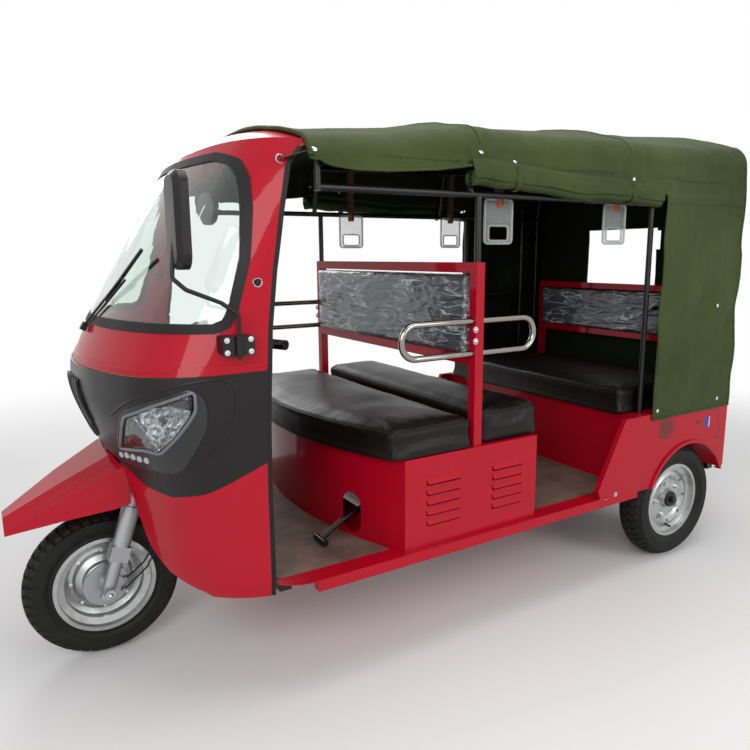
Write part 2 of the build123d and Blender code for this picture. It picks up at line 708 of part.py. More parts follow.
# Hood over each louvre, pressed out of the sheet: distance out of the wall, height above the slot's middle
hood_section = ((0, 18), (9, 5), (9, 2), (7, 2), (0, 12))
with BuildPart() as seat_box:
    with BuildSketch(Plane.XY.offset(floor_z)):
        with BuildLine():
            box_plan(0)
        make_face()
    extrude(amount=box_top_z - floor_z)
    for station in louvre_stations:
        for side in (1, -1):
            with BuildSketch(Plane(origin=(fwd(station - louvre_w / 2), side * (box_half_w - 1), louvre_mid_z),
                                   x_dir=(0, side, 0), z_dir=(side, 0, 0))):
                for row in range(louvre_count):
                    lift = (row - (louvre_count - 1) / 2) * louvre_pitch
                    with BuildLine():
                        Polyline(*[(out + 1, side * (up + lift)) for out, up in hood_section], close=True)
                    make_face()
            extrude(amount=side * louvre_w)
    with BuildSketch(Plane.XY.offset(floor_z)):
        with BuildLine():
            box_plan(sheet)
        make_face()
    extrude(amount=box_top_z - floor_z - sheet, mode=Mode.SUBTRACT)
    for station in louvre_stations:
        for side in (1, -1):
            with BuildSketch(Plane(origin=(fwd(station), side * (box_half_w - 20), louvre_mid_z),
                                   x_dir=(1, 0, 0), z_dir=(0, side, 0))):
                with GridLocations(louvre_w, louvre_pitch, 1, louvre_count):
                    SlotOverall(louvre_w, louvre_h)
            extrude(amount=20, mode=Mode.SUBTRACT)
    with BuildSketch(Plane(origin=(fwd(1480), 390, 470), x_dir=(0, 1, 0), z_dir=(1, 0, 0))):
        SlotOverall(150, 90, rotation=90)
    extrude(amount=200, mode=Mode.SUBTRACT)
save(seat_box, "seat_box")

# Engine and gearbox under the seat box, as one plain block
with BuildPart() as engine_block:
    with BuildSketch(Plane.XY.offset(235)):
        with Locations((fwd(1175), 0)):
            RectangleRounded(380, 400, 30)
    extrude(amount=380)
    for side in (1, -1):
        bar_between((fwd(1175), side * 200, 345), (fwd(1175), side * (rail_y - rail_w / 2), 345), 120, 30)
save(engine_block, "engine_block")

# Cushions of the driver's seat and the rear facing middle seat
cushion_round = 22.0
with BuildPart() as driver_cushion:
    with BuildSketch(Plane.XY.offset(box_top_z)):
        with BuildLine():
            ThreePointArc((fwd(1512), -cushion_half_w), (fwd(1652), 0), (fwd(1512), cushion_half_w))
            Polyline((fwd(1512), cushion_half_w), (fwd(1180), cushion_half_w),
                     (fwd(1180), -cushion_half_w), (fwd(1512), -cushion_half_w))
        make_face()
    extrude(amount=cushion_top_z - box_top_z)
    fillet(driver_cushion.faces().sort_by(Axis.Z)[-1].edges(), cushion_round)
save(driver_cushion, "driver_cushion")
with BuildPart() as middle_cushion:
    with BuildSketch(Plane.XY.offset(box_top_z)):
        with Locations((fwd(994), 0)):
            RectangleRounded(282, 2 * 600, 20)
    extrude(amount=cushion_top_z + 14 - box_top_z)
    fillet(middle_cushion.faces().sort_by(Axis.Z)[-1].edges(), cushion_round)
save(middle_cushion, "middle_cushion")

# Red backrest frame between the two cushions, with its pad
rail_mid_y = backrest_half_w - frame_tube / 2
with BuildPart() as mid_backrest_frame:
    for side in (1, -1):
        bar_between((fwd(backrest_x), side * rail_mid_y, box_top_z),
                    (fwd(backrest_x), side * rail_mid_y, backrest_top_z), frame_tube, frame_tube)
    for z in (rail_z + frame_tube / 2, backrest_top_z - frame_tube / 2):
        bar_between((fwd(backrest_x), -rail_mid_y, z), (fwd(backrest_x), rail_mid_y, z), frame_tube, frame_tube)
save(mid_backrest_frame, "mid_backrest_frame")
pad_t = 74.0
with BuildPart() as mid_backrest_pad:
    with BuildSketch(Plane.XY.offset(rail_z + frame_tube)):
        with Locations((fwd(backrest_x), 0)):
            RectangleRounded(pad_t, 2 * (backrest_half_w - frame_tube) - 8, 20)
    extrude(amount=backrest_top_z - rail_z - 2 * frame_tube)
save(mid_backrest_pad, "mid_backrest_pad")

# Chrome armrest loops on the posts: forward for the driver, rearward for the passengers
arm_r = 11.0
arm_z = (1032.0, 1144.0)
# columns: direction, reach of the loop's centre line from the post's centre
arm_loops = ((1, 308.0), (-1, 266.0))
with BuildPart() as armrests:
    for side in (1, -1):
        for heading, reach in arm_loops:
            root = fwd(backrest_x) + heading * frame_tube / 2
            tip = fwd(backrest_x) + heading * reach
            y = side * rail_mid_y
            with BuildLine() as arm_path:
                FilletPolyline((root, y, arm_z[1]), (tip, y, arm_z[1]), (tip, y, arm_z[0]),
                               (root, y, arm_z[0]), radius=(arm_z[1] - arm_z[0]) / 2 - 1)
            with BuildSketch(Plane(origin=arm_path.line @ 0, z_dir=arm_path.line % 0)):
                Circle(arm_r)
            sweep(path=arm_path.line)
save(armrests, "armrests")

# Rear bench box over the wheel housings
housing_r = 318.0
housing_y = 465.0
bench_half_w = 612.0
# Two holes for the bolts of a number plate
plate_hole_r = 3.25
plate_pitch = 140.0
plate_z = 600.0
with BuildPart() as bench_solid:
    side_region(((bench_front_low, floor_z), (bench_front_high, bench_top_z),
                 (tail_x, bench_top_z), (tail_x, floor_z - 10), (bench_front_low, floor_z - 10)), bench_half_w)
with BuildPart() as bench_inside:
    side_region(((bench_front_low - sheet, floor_z - 10), (bench_front_high - sheet, bench_top_z - sheet),
                 (tail_x + sheet, bench_top_z - sheet), (tail_x + sheet, floor_z - 10)), bench_half_w - sheet)
with BuildPart() as rear_seat_box:
    side_region(((bench_front_low, floor_z), (bench_front_high, bench_top_z),
                 (tail_x, bench_top_z), (tail_x, floor_z)), bench_half_w)
    add(bench_inside.part, mode=Mode.SUBTRACT)
    for side in (1, -1):
        tube_between((fwd(0), side * housing_y, rear_tyre_r), (fwd(0), side * bench_half_w, rear_tyre_r),
                     housing_r + sheet)
    add(bench_solid.part, mode=Mode.INTERSECT)
    for side in (1, -1):
        with BuildSketch(Plane(origin=(fwd(0), side * (housing_y + sheet), rear_tyre_r), z_dir=(0, side, 0))):
            Circle(housing_r)
        extrude(amount=300, mode=Mode.SUBTRACT)
    with BuildSketch(Plane(origin=(fwd(tail_x), 0, plate_z), x_dir=(0, 1, 0), z_dir=(1, 0, 0))):
        with GridLocations(plate_pitch, 0, 2, 1):
            Circle(plate_hole_r)
    extrude(amount=2 * sheet, mode=Mode.SUBTRACT)
save(rear_seat_box, "rear_seat_box")

# Rear side panels: flat skin with the wheel arch, folded in to meet the bench box
side_panel_outline = ((533, 385), (546, 421), (400, 700), (tail_x, 700), (tail_x, 372),
                      (300, 372), (300, 385))
arch_centre = (-35.0, 270.0)
arch_r = 262.0
arch_lip = 14.0
with BuildPart() as rear_side_panels:
    for side in (1, -1):
        with BuildSketch(Plane(origin=(0, side * body_half_w, 0), x_dir=(1, 0, 0), z_dir=(0, -1, 0))):
            with BuildLine():
                Polyline(*[(fwd(x), z) for x, z in side_panel_outline], close=True)
            make_face()
        extrude(amount=side * (body_half_w - bench_half_w))
        with BuildSketch(Plane(origin=(0, side * (body_half_w - sheet), 0), x_dir=(1, 0, 0), z_dir=(0, -1, 0))):
            with BuildLine():
                Polyline(*[(fwd(x), z) for x, z in side_panel_outline], close=True)
            make_face()
            offset(amount=-sheet, kind=Kind.INTERSECTION)
        extrude(amount=side * (body_half_w - bench_half_w), mode=Mode.SUBTRACT)
        tube_between((fwd(arch_centre[0]), side * (body_half_w - sheet), arch_centre[1]),
                     (fwd(arch_centre[0]), side * (body_half_w + 8), arch_centre[1]), arch_r + arch_lip)
    with BuildSketch(Plane(origin=(fwd(0), -700, 0), x_dir=(1, 0, 0), z_dir=(0, -1, 0)).offset(-1400)):
        with Locations((arch_centre[0], arch_centre[1])):
            Circle(arch_r)
        with Locations((0, 100)):
            Rectangle(1400, 2 * (372 - 100))
    extrude(amount=1400, mode=Mode.SUBTRACT)
save(rear_side_panels, "rear_side_panels")

# Tail panel between the side panels, with its lamps and the holes for a number plate
tail_panel_t = 8.0
lamp_y = 470.0
lamp_z = 590.0
lamp_size = (150.0, 60.0)
lamp_depth = 30.0
with BuildPart() as tail_panel:
    with BuildSketch(Plane(origin=(fwd(tail_x), 0, 0), x_dir=(0, -1, 0), z_dir=(-1, 0, 0))):
        with Locations((0, (floor_z + bench_top_z) / 2)):
            Rectangle(2 * body_half_w, bench_top_z - floor_z)
        with Locations((-lamp_y, lamp_z), (lamp_y, lamp_z)):
            Rectangle(*lamp_size, mode=Mode.SUBTRACT)
        with Locations((-plate_pitch / 2, plate_z), (plate_pitch / 2, plate_z)):
            Circle(plate_hole_r, mode=Mode.SUBTRACT)
    extrude(amount=tail_panel_t)
save(tail_panel, "tail_panel")
with BuildPart() as tail_lamps:
    for side in (1, -1):
        with BuildSketch(Plane(origin=(fwd(tail_x), side * lamp_y, lamp_z), x_dir=(0, -1, 0), z_dir=(-1, 0, 0))):
            Rectangle(*lamp_size)
        extrude(amount=lamp_depth)
save(tail_lamps, "tail_lamps")

# Rear bench cushion, its backrest frame and pad
with BuildPart() as rear_cushion:
    with BuildSketch(Plane.XY.offset(bench_top_z)):
        with Locations((fwd(112), 0)):
            RectangleRounded(520, 1140, 24)
    extrude(amount=112)
    fillet(rear_cushion.faces().sort_by(Axis.Z)[-1].edges(), cushion_round)
save(rear_cushion, "rear_cushion")
rest_x = -262.0
rest_half_w = 520.0
rest_low = 935.0
rest_high = 1210.0
with BuildPart() as rear_backrest_frame:
    for side in (1, -1):
        bar_between((fwd(rest_x), side * (rest_half_w - 15), bench_top_z),
                    (fwd(rest_x), side * (rest_half_w - 15), rest_high), 30, 30)
    for z in (rest_low + 15, rest_high - 15):
        bar_between((fwd(rest_x), 15 - rest_half_w, z), (fwd(rest_x), rest_half_w - 15, z), 30, 30)
save(rear_backrest_frame, "rear_backrest_frame")
with BuildPart() as rear_backrest_pad:
    with BuildSketch(Plane.XY.offset(rest_low + 30)):
        with Locations((fwd(rest_x + 8), 0)):
            RectangleRounded(60, 2 * (rest_half_w - 30) - 8, 18)
    extrude(amount=rest_high - rest_low - 60)
save(rear_backrest_pad, "rear_backrest_pad")

# Canopy frame: posts, side rails and crowned bows of black tube
# columns: station, shoulder height, crown height of the cloth
canopy_sections = (
    (canopy_rear_x, 1822.0, 1932.0),
    (450.0, 1802.0, 1900.0),
    (1190.0, 1786.0, 1848.0),
    (canopy_front_x, 1708.0, 1790.0),
)
shoulder_y = 545.0
shoulder_drop = 78.0
hem_z = 1600.0
bow_gap = 4.0
bow_stations = (-270.0, 450.0, 1190.0)
handle_y = 530.0
handle_rail_z = (1797.0, 1760.0)


def section_at(station):
    """Shoulder and crown height of the cloth at a station, between the listed sections."""
    for (x0, s0, c0), (x1, s1, c1) in zip(canopy_sections, canopy_sections[1:]):
        if x0 <= station <= x1:
            t = (station - x0) / (x1 - x0)
            return s0 + t * (s1 - s0), c0 + t * (c1 - c0)
    return canopy_sections[0][1:]


def handle_rail(station, side):
    """Point on the tube under the bows that the grab handles hang from."""
    rear, front = bow_stations[0], bow_stations[-1]
    z = handle_rail_z[0] + (handle_rail_z[1] - handle_rail_z[0]) * (station - rear) / (front - rear)
    return (fwd(station), side * handle_y, z)


with BuildPart() as canopy_frame:
    for side in (1, -1):
        tube_between((fwd(-270), side * post_y, bench_top_z), (fwd(-270), side * post_y, side_rail_z), bow_tube_r)
        tube_between((fwd(260), side * post_y, bench_top_z), (fwd(260), side * post_y, side_rail_z), bow_tube_r)
        tube_between((fwd(backrest_x), side * post_y, backrest_top_z),
                     (fwd(backrest_x), side * post_y, side_rail_z), bow_tube_r)
        tube_between((fwd(-270 - 11), side * post_y, side_rail_z), (fwd(1750), side * post_y, side_rail_z),
                     bow_tube_r)
        tube_between((fwd(1750), side * post_y, side_rail_z - 11), (fwd(1750), side * post_y, 1640), bow_tube_r)
    for station in bow_stations:
        shoulder, crown = section_at(station)
        drop = canopy_skin + bow_gap + bow_tube_r
        with BuildLine() as bow_path:
            bow_arc = ThreePointArc((fwd(station), -shoulder_y, shoulder - drop),
                                    (fwd(station), 0, crown - drop),
                                    (fwd(station), shoulder_y, shoulder - drop))
            Line((fwd(station), -post_y, side_rail_z), (fwd(station), -shoulder_y, shoulder - drop))
            Line((fwd(station), shoulder_y, shoulder - drop), (fwd(station), post_y, side_rail_z))
        with BuildSketch(Plane(origin=(fwd(station), -post_y, side_rail_z),
                               z_dir=(0, post_y - shoulder_y, shoulder - drop - side_rail_z))):
            Circle(bow_tube_r)
        sweep(path=bow_path.line, transition=Transition.ROUND)
    for side in (1, -1):
        tube_between(handle_rail(bow_stations[0], side), handle_rail(bow_stations[-1], side), bow_tube_r)
save(canopy_frame, "canopy_frame")


# Canopy cloth: roof, valances, rear quarters and back in one skin
def canopy_loft(inset, low_z):
    ribs = []
    for station, shoulder, crown in canopy_sections:
        x = station
        if inset:
            x += inset if station == canopy_rear_x else 0
            x += 40 if station == canopy_front_x else 0
        with BuildSketch(Plane(origin=(fwd(x), 0, 0), x_dir=(0, 1, 0), z_dir=(1, 0, 0))) as rib:
            half = canopy_half_w - inset
            top = shoulder - inset
            with BuildLine():
                Line((-half, low_z), (-half, 1575))
                Line((-half, 1575), (-half + 14, top - shoulder_drop))
                ThreePointArc((-half + 14, top - shoulder_drop), (-shoulder_y - 42, top - 22), (-shoulder_y, top))
                ThreePointArc((-shoulder_y, top), (0, crown - inset), (shoulder_y, top))
                ThreePointArc((shoulder_y, top), (shoulder_y + 42, top - 22), (half - 14, top - shoulder_drop))
                Line((half - 14, top - shoulder_drop), (half, 1575))
                Line((half, 1575), (half, low_z))
                Line((half, low_z), (-half, low_z))
            make_face()
        ribs.append(rib.sketch)
    loft(ribs, ruled=True)


quarter_front = 240.0
quarter_low = 672.0
with BuildPart() as canopy_inside:
    canopy_loft(canopy_skin, quarter_low - 20)
canopy_side_cut = ((quarter_front, quarter_low - 10), (quarter_front, hem_z), (1340, hem_z),
                   (1560, hem_z - 8), (1727, 1612), (1860, 1655), (1990, 1655), (1990, quarter_low - 10))
with BuildPart() as canopy_cover:
    canopy_loft(0.0, quarter_low)
    add(canopy_inside.part, mode=Mode.SUBTRACT)
    with BuildSketch(Plane(origin=(0, 800, 0), x_dir=(1, 0, 0), z_dir=(0, -1, 0))):
        with BuildLine():
            Polyline(*[(fwd(x), z) for x, z in canopy_side_cut], close=True)
        make_face()
    extrude(amount=1600, mode=Mode.SUBTRACT)
    with BuildSketch(Plane(origin=(fwd(canopy_rear_x - 20), 0, 1340), x_dir=(0, 1, 0), z_dir=(1, 0, 0))):
        RectangleRounded(440, 300, 30)
    extrude(amount=60, mode=Mode.SUBTRACT)
save(canopy_cover, "canopy_cover")

# Side curtains rolled up under the hem
roll_r = 26.0
with BuildPart() as rolled_curtains:
    for side in (1, -1):
        y = side * (post_y + bow_tube_r + roll_r - 0.3)
        tube_between((fwd(quarter_front + 6), y, hem_z - roll_r - 4), (fwd(1180), y, hem_z - roll_r - 4), roll_r)
save(rolled_curtains, "rolled_curtains")

# Grab handles: clear plates with a hand hole, each hung on a strap looped over its rail
plate_size = (125.0, 150.0)
plate_t = 8.0
plate_top_z = 1555.0
hand_hole = (96.0, 62.0)
hand_hole_z = 1446.0
strap_w = 26.0
strap_t = 3.0
with BuildPart() as grab_handles:
    for station in (1020.0, 415.0):
        for side in (1, -1):
            hook = handle_rail(station, side)
            with BuildSketch(Plane(origin=(hook[0], hook[1] + plate_t / 2, 0), x_dir=(1, 0, 0),
                                   z_dir=(0, -1, 0))):
                with Locations((0, plate_top_z - plate_size[1] / 2)):
                    RectangleRounded(*plate_size, 16)
                with Locations((0, hand_hole_z)):
                    RectangleRounded(*hand_hole, 22, mode=Mode.SUBTRACT)
            extrude(amount=plate_t)
            rail_dir = Vector(*handle_rail(station + strap_w, side)) - Vector(*hook)
            loop = Plane(origin=Vector(*hook) - rail_dir / 2, x_dir=(0, 1, 0), z_dir=rail_dir)
            with BuildSketch(loop):
                Circle(bow_tube_r + strap_t)
                Circle(bow_tube_r, mode=Mode.SUBTRACT)
            extrude(amount=rail_dir.length)
            bar_between((hook[0], hook[1], hook[2] - bow_tube_r - strap_t / 2),
                        (hook[0], hook[1], plate_top_z - 10), strap_t, strap_w)
save(grab_handles, "grab_handles")

# Mirrors: a tall one on a bent arm, clamped to the left of the cab, and an oval one under the roof
clamp_at = (fwd(2015), 622.0, 1128.0)
clamp_plate = (90.0, 54.0)
clamp_root_y = 560.0
clamp_boss_r, clamp_boss_half = 11.0, 28.0
arm_tube_r = 6.0
# columns: station, y, height of the arm's corners, from the clamp to the back of the head
mirror_arm = ((2015, 622, 1092), (2015, 622, 1214), (2060, 620, 1247), (2148, 606, 1284),
              (2178, 592, 1314), (2167, 588, 1410))
head_size = (118.0, 250.0)
head_corner_r, head_back, head_front = 42.0, 22.0, 14.0
head_centre = (2159.0, 588.0, 1460.0)
inner_mirror = (1882.0, 1532.0)
inner_mirror_half, inner_mirror_t, inner_stem_r = (88.0, 54.0), 18.0, 5.0
with BuildPart() as roof_mirror:
    with BuildSketch(Plane(origin=(fwd(inner_mirror[0]), 0, inner_mirror[1]), x_dir=(0, 1, 0), z_dir=(1, 0, 0))):
        Ellipse(*inner_mirror_half)
    extrude(amount=inner_mirror_t)
    stem_x = fwd(inner_mirror[0] + inner_mirror_t / 2)
    tube_between((stem_x, 0, inner_mirror[1] + 40), (stem_x, 0, inner_mirror[1] + 260), inner_stem_r)
    add(upper_hollow.part, mode=Mode.INTERSECT)
with BuildPart() as mirrors:
    with BuildSketch(Plane(origin=(clamp_at[0], clamp_root_y, clamp_at[2]), x_dir=(1, 0, 0), z_dir=(0, 1, 0))):
        RectangleRounded(*clamp_plate, 8)
    extrude(amount=clamp_at[1] - clamp_root_y - 4)
    tube_between((clamp_at[0], clamp_at[1], clamp_at[2] - clamp_boss_half),
                 (clamp_at[0], clamp_at[1], clamp_at[2] + clamp_boss_half), clamp_boss_r)
    with BuildLine() as arm_line:
        FilletPolyline(*[(fwd(x), y, z) for x, y, z in mirror_arm], radius=16)
    with BuildSketch(Plane(origin=arm_line.line @ 0, z_dir=arm_line.line % 0)):
        Circle(arm_tube_r)
    sweep(path=arm_line.line)
    with BuildSketch(Plane(origin=(fwd(head_centre[0]), head_centre[1], head_centre[2]), x_dir=(0, 1, 0),
                           z_dir=(1, 0, 0))):
        RectangleRounded(*head_size, head_corner_r)
    extrude(amount=-head_back)
    with BuildSketch(Plane(origin=(fwd(head_centre[0]), head_centre[1], head_centre[2]), x_dir=(0, 1, 0),
                           z_dir=(1, 0, 0))):
        RectangleRounded(*head_size, head_corner_r)
    extrude(amount=head_front, taper=45)
    add(upper_outside.part, mode=Mode.SUBTRACT)
    add(roof_mirror.part)
save(mirrors, "mirrors")

with BuildPart() as upper_proud:
    cab_loft(upper_sections, -seal_proud, True)

# Wiper: arm and blade lying on the glass
with BuildPart() as wiper:
    tube_between((fwd(2290), 0, 1128), (fwd(2330), 0, 1152), 14)
    tube_between((fwd(2322), 0, 1150), (fwd(2225), 190, 1310), 4)
    tube_between((fwd(2318), 8, 1142), (fwd(2222), 205, 1300), 4)
    bar_between((fwd(2266), 110, 1236), (fwd(2176), 250, 1390), 12, 10)
    add(upper_proud.part, mode=Mode.SUBTRACT)
save(wiper, "wiper")

# Rear axle: tubes, differential and the shaft from the gearbox
axle_tube_r = 28.0
spring_y = 400.0
with BuildPart() as rear_axle:
    tube_between((fwd(0), -rear_wheel_y + 58, rear_tyre_r), (fwd(0), rear_wheel_y - 58, rear_tyre_r), axle_tube_r)
    tube_between((fwd(0), -rear_wheel_y - 36, rear_tyre_r), (fwd(0), rear_wheel_y + 36, rear_tyre_r), rear_stub_r)
    with BuildSketch(Plane(origin=(fwd(0), -75, rear_tyre_r), z_dir=(0, 1, 0))):
        Circle(95)
    extrude(amount=150)
    tube_between((fwd(60), 0, rear_tyre_r), (fwd(150), 0, rear_tyre_r), 45)
    for side in (1, -1):
        tube_between((fwd(0), side * (rear_wheel_y - 62), rear_tyre_r),
                     (fwd(0), side * (rear_wheel_y - 55), rear_tyre_r), 102)
    tube_between((fwd(150), 0, rear_tyre_r), (fwd(983), 0, 300), 24)
save(rear_axle, "rear_axle")

# Leaf springs from the rails to the axle, with dampers
with BuildPart() as leaf_springs:
    for side in (1, -1):
        y = side * spring_y
        with BuildSketch(Plane(origin=(0, y - 25, 0), x_dir=(1, 0, 0), z_dir=(0, -1, 0))):
            with BuildLine():
                ThreePointArc((fwd(-320), 322), (fwd(0), 300), (fwd(330), 322))
                Line((fwd(330), 322), (fwd(330), 314))
                ThreePointArc((fwd(330), 314), (fwd(0), 291), (fwd(-320), 314))
                Line((fwd(-320), 314), (fwd(-320), 322))
            make_face()
        extrude(amount=-50)
        bar_between((fwd(0), y, 291), (fwd(0), y, 325), 60, 90)
        for station in (-320, 330):
            bar_between((fwd(station), y, 315), (fwd(station), y, rail_top - 40), 40, 30)
save(leaf_springs, "leaf_springs")

# Exhaust: pipe from the engine to a silencer under the floor
with BuildPart() as exhaust:
    tube_between((fwd(1250), -200, 290), (fwd(1250), -360, 290), 18)
    tube_between((fwd(1250), -345, 290), (fwd(950), -345, 290), 18)
    tube_between((fwd(960), -345, 290), (fwd(560), -345, 290), 48)
    tube_between((fwd(560), -345, 290), (fwd(500), -345, 285), 16)
save(exhaust, "exhaust")

# Foot lever out of the slot in the seat box, and the brake pedal by the leg shield
with BuildPart() as foot_controls:
    with BuildLine() as lever_path:
        FilletPolyline((fwd(1320), 200, 470), (fwd(1320), 300, 470), (fwd(1500), 385, 480), (fwd(1590), 400, 455),
                       (fwd(1680), 400, 400), radius=25)
    with BuildSketch(Plane(origin=lever_path.line @ 0, z_dir=lever_path.line % 0)):
        Circle(9)
    sweep(path=lever_path.line)
    tube_between((fwd(1680), 370, 402), (fwd(1680), 440, 402), 12)
    with BuildLine() as pedal_path:
        FilletPolyline((fwd(shield_x), -330, 560), (fwd(1900), -330, 560), (fwd(1860), -330, 450), radius=25)
    with BuildSketch(Plane(origin=pedal_path.line @ 0, z_dir=pedal_path.line % 0)):
        Circle(8)
    sweep(path=pedal_path.line)
    bar_between((fwd(1870), -330, 455), (fwd(1845), -330, 440), 80, 50)
save(foot_controls, "foot_controls")
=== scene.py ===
import json
from math import cos, hypot, pi, radians, sin, sqrt
import bmesh
import bpy
from mathutils import Matrix, Vector, noise
from mathutils.bvhtree import BVHTree


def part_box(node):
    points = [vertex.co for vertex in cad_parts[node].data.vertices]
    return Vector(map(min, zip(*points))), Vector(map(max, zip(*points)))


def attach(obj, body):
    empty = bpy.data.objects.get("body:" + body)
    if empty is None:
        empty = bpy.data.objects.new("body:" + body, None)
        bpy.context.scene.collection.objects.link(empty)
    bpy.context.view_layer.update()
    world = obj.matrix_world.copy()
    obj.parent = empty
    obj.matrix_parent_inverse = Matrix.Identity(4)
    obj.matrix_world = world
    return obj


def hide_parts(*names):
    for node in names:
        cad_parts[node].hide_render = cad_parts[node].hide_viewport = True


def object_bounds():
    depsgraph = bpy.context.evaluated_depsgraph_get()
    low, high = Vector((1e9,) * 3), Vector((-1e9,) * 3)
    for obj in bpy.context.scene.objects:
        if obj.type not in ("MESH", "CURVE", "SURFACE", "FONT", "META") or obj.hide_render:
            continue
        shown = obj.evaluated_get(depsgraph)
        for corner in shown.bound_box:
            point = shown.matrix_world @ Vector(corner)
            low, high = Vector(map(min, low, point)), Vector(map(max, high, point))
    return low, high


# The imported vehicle: its nodes, its joints, and the box that the finished vehicle has to keep.
# Stations are metres forward of the rear axle, as they are measured on the real one.
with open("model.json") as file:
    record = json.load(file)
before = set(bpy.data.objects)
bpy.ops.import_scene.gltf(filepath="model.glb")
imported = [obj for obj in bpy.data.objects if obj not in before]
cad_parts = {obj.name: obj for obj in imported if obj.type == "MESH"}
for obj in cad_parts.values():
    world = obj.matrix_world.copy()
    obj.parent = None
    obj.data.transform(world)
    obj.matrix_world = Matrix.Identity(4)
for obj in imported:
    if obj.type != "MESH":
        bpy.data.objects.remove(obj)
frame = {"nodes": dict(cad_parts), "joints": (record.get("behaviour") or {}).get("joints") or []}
cad_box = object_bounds()
joints = {joint["name"]: joint for joint in frame["joints"]}
rear_hub = Vector(joints["rear_wheel_left_spin"]["pos_m"])
front_hub = Vector(joints["front_wheel_spin"]["pos_m"])


def at(station, y, z):
    """A point from its station, its distance left of the middle and its height."""
    return Vector((rear_hub.x + station, y, z))


# The camera stands a step off the left front corner, at head height.
# Heading is turned from +X, dip is below the horizon, lean is about the line of sight.
eye = at(2.617, 2.331, 1.370)
heading, dip, lean = radians(-121.090), radians(10.379), radians(-0.491)
focal_pixels, photo_pixels, sensor_mm = 657.66, 750, 36.0
sight = Vector((cos(dip) * cos(heading), cos(dip) * sin(heading), -sin(dip)))
level = sight.cross(Vector((0, 0, 1))).normalized()
plumb = level.cross(sight)
across = level * cos(lean) + plumb * sin(lean)
upright = plumb * cos(lean) - level * sin(lean)
camera = bpy.data.objects.new("camera", bpy.data.cameras.new("camera"))
camera.data.sensor_width = sensor_mm
camera.data.lens = focal_pixels / photo_pixels * sensor_mm
camera.matrix_world = Matrix.Translation(eye) @ Matrix((across, upright, -sight)).transposed().to_4x4()
bpy.context.scene.collection.objects.link(camera)
bpy.context.scene.camera = camera
bpy.context.scene.view_settings.view_transform = "Standard"


# The studio: a pale floor that fades into a white surround, and four soft lamps.
# The surround is white to the eye, to gloss and through glass, and gives the shapes a plain soft light.
def linear(code):
    """An sRGB hex colour as the linear colour that a socket takes."""
    parts = [int(code[i:i + 2], 16) / 255 for i in (1, 3, 5)]
    return [c / 12.92 if c <= 0.04045 else ((c + 0.055) / 1.055) ** 2.4 for c in parts] + [1.0]


def node(tree, kind, inputs=None, **settings):
    """Add one node with its settings; an input takes a plain value or another node's socket."""
    made = tree.nodes.new(kind)
    for name, value in settings.items():
        setattr(made, name, value)
    for name, value in (inputs or {}).items():
        if isinstance(value, bpy.types.NodeSocket):
            tree.links.new(value, made.inputs[name])
        else:
            made.inputs[name].default_value = value
    return made


def material(name):
    """An empty node material, its tree, and the place on the object that patterns are laid by."""
    made = bpy.data.materials.new(name)
    made.use_nodes = True
    made.node_tree.nodes.clear()
    return made, made.node_tree, node(made.node_tree, "ShaderNodeTexCoord").outputs["Object"]


surround_light = 0.36
world = bpy.data.worlds.new("studio")
bpy.context.scene.world = world
world.use_nodes = True
world.node_tree.nodes.clear()


def seen_or_lit(tree):
    """1 where the surround is looked at, mirrored or seen through glass, its plain light elsewhere."""
    ray = node(tree, "ShaderNodeLightPath")
    looked_at, reflected = ray.outputs["Is Camera Ray"], ray.outputs["Is Glossy Ray"]
    mirrored = node(tree, "ShaderNodeMath", {0: looked_at, 1: reflected}, operation="MAXIMUM")
    seen = node(tree, "ShaderNodeMath", {0: mirrored.outputs[0], 1: ray.outputs["Is Transmission Ray"]},
                operation="MAXIMUM")
    return node(tree, "ShaderNodeMapRange", {0: seen.outputs[0], 3: surround_light, 4: 1.0}).outputs[0]


glow = node(world.node_tree, "ShaderNodeBackground", {"Strength": seen_or_lit(world.node_tree)})
glow.inputs["Color"].default_value = linear("#FFFFFF")
node(world.node_tree, "ShaderNodeOutputWorld", {"Surface": glow.outputs[0]})

floor_reach, fade_near, fade_far = 40.0, 2.6, 5.5
floor_bm = bmesh.new()
bmesh.ops.create_grid(floor_bm, x_segments=8, y_segments=8, size=floor_reach)
floor_data = bpy.data.meshes.new("studio_floor")
floor_bm.to_mesh(floor_data)
floor_bm.free()
floor = bpy.data.objects.new("studio_floor", floor_data)
bpy.context.scene.collection.objects.link(floor)
floor_finish, tree, spot = material("pale_painted_floor")
far = node(tree, "ShaderNodeVectorMath", {0: spot}, operation="LENGTH")
fade = node(tree, "ShaderNodeMapRange", {0: far.outputs["Value"], 1: fade_near, 2: fade_far},
            interpolation_type="SMOOTHSTEP")
painted = node(tree, "ShaderNodeBsdfDiffuse", {"Color": linear("#F4F4F4")})
glowing = node(tree, "ShaderNodeEmission", {"Color": linear("#FFFFFF"), "Strength": seen_or_lit(tree)})
joined = node(tree, "ShaderNodeMixShader", {0: fade.outputs[0], 1: painted.outputs[0], 2: glowing.outputs[0]})
node(tree, "ShaderNodeOutputMaterial", {"Surface": joined.outputs[0]})
floor_data.materials.append(floor_finish)

# columns: name, station, left, height, width, watts
softboxes = (
    ("front_softbox", 4.4, 3.4, 2.9, 2.4, 88.0),
    ("side_softbox", -0.6, 5.0, 2.6, 2.6, 80.0),
    ("far_softbox", 1.2, -4.6, 3.2, 2.4, 60.0),
    ("top_softbox", 0.9, 0.4, 4.6, 3.0, 75.0),
)
aim = at(1.1, 0.0, 0.9)
for name, station, left, height, width, watts in softboxes:
    lamp = bpy.data.objects.new(name, bpy.data.lights.new(name, "AREA"))
    lamp.data.size = width
    lamp.data.energy = watts
    place = at(station, left, height)
    facing = (aim - place).to_track_quat("-Z", "Y")
    lamp.matrix_world = Matrix.Translation(place) @ facing.to_matrix().to_4x4()
    bpy.context.scene.collection.objects.link(lamp)


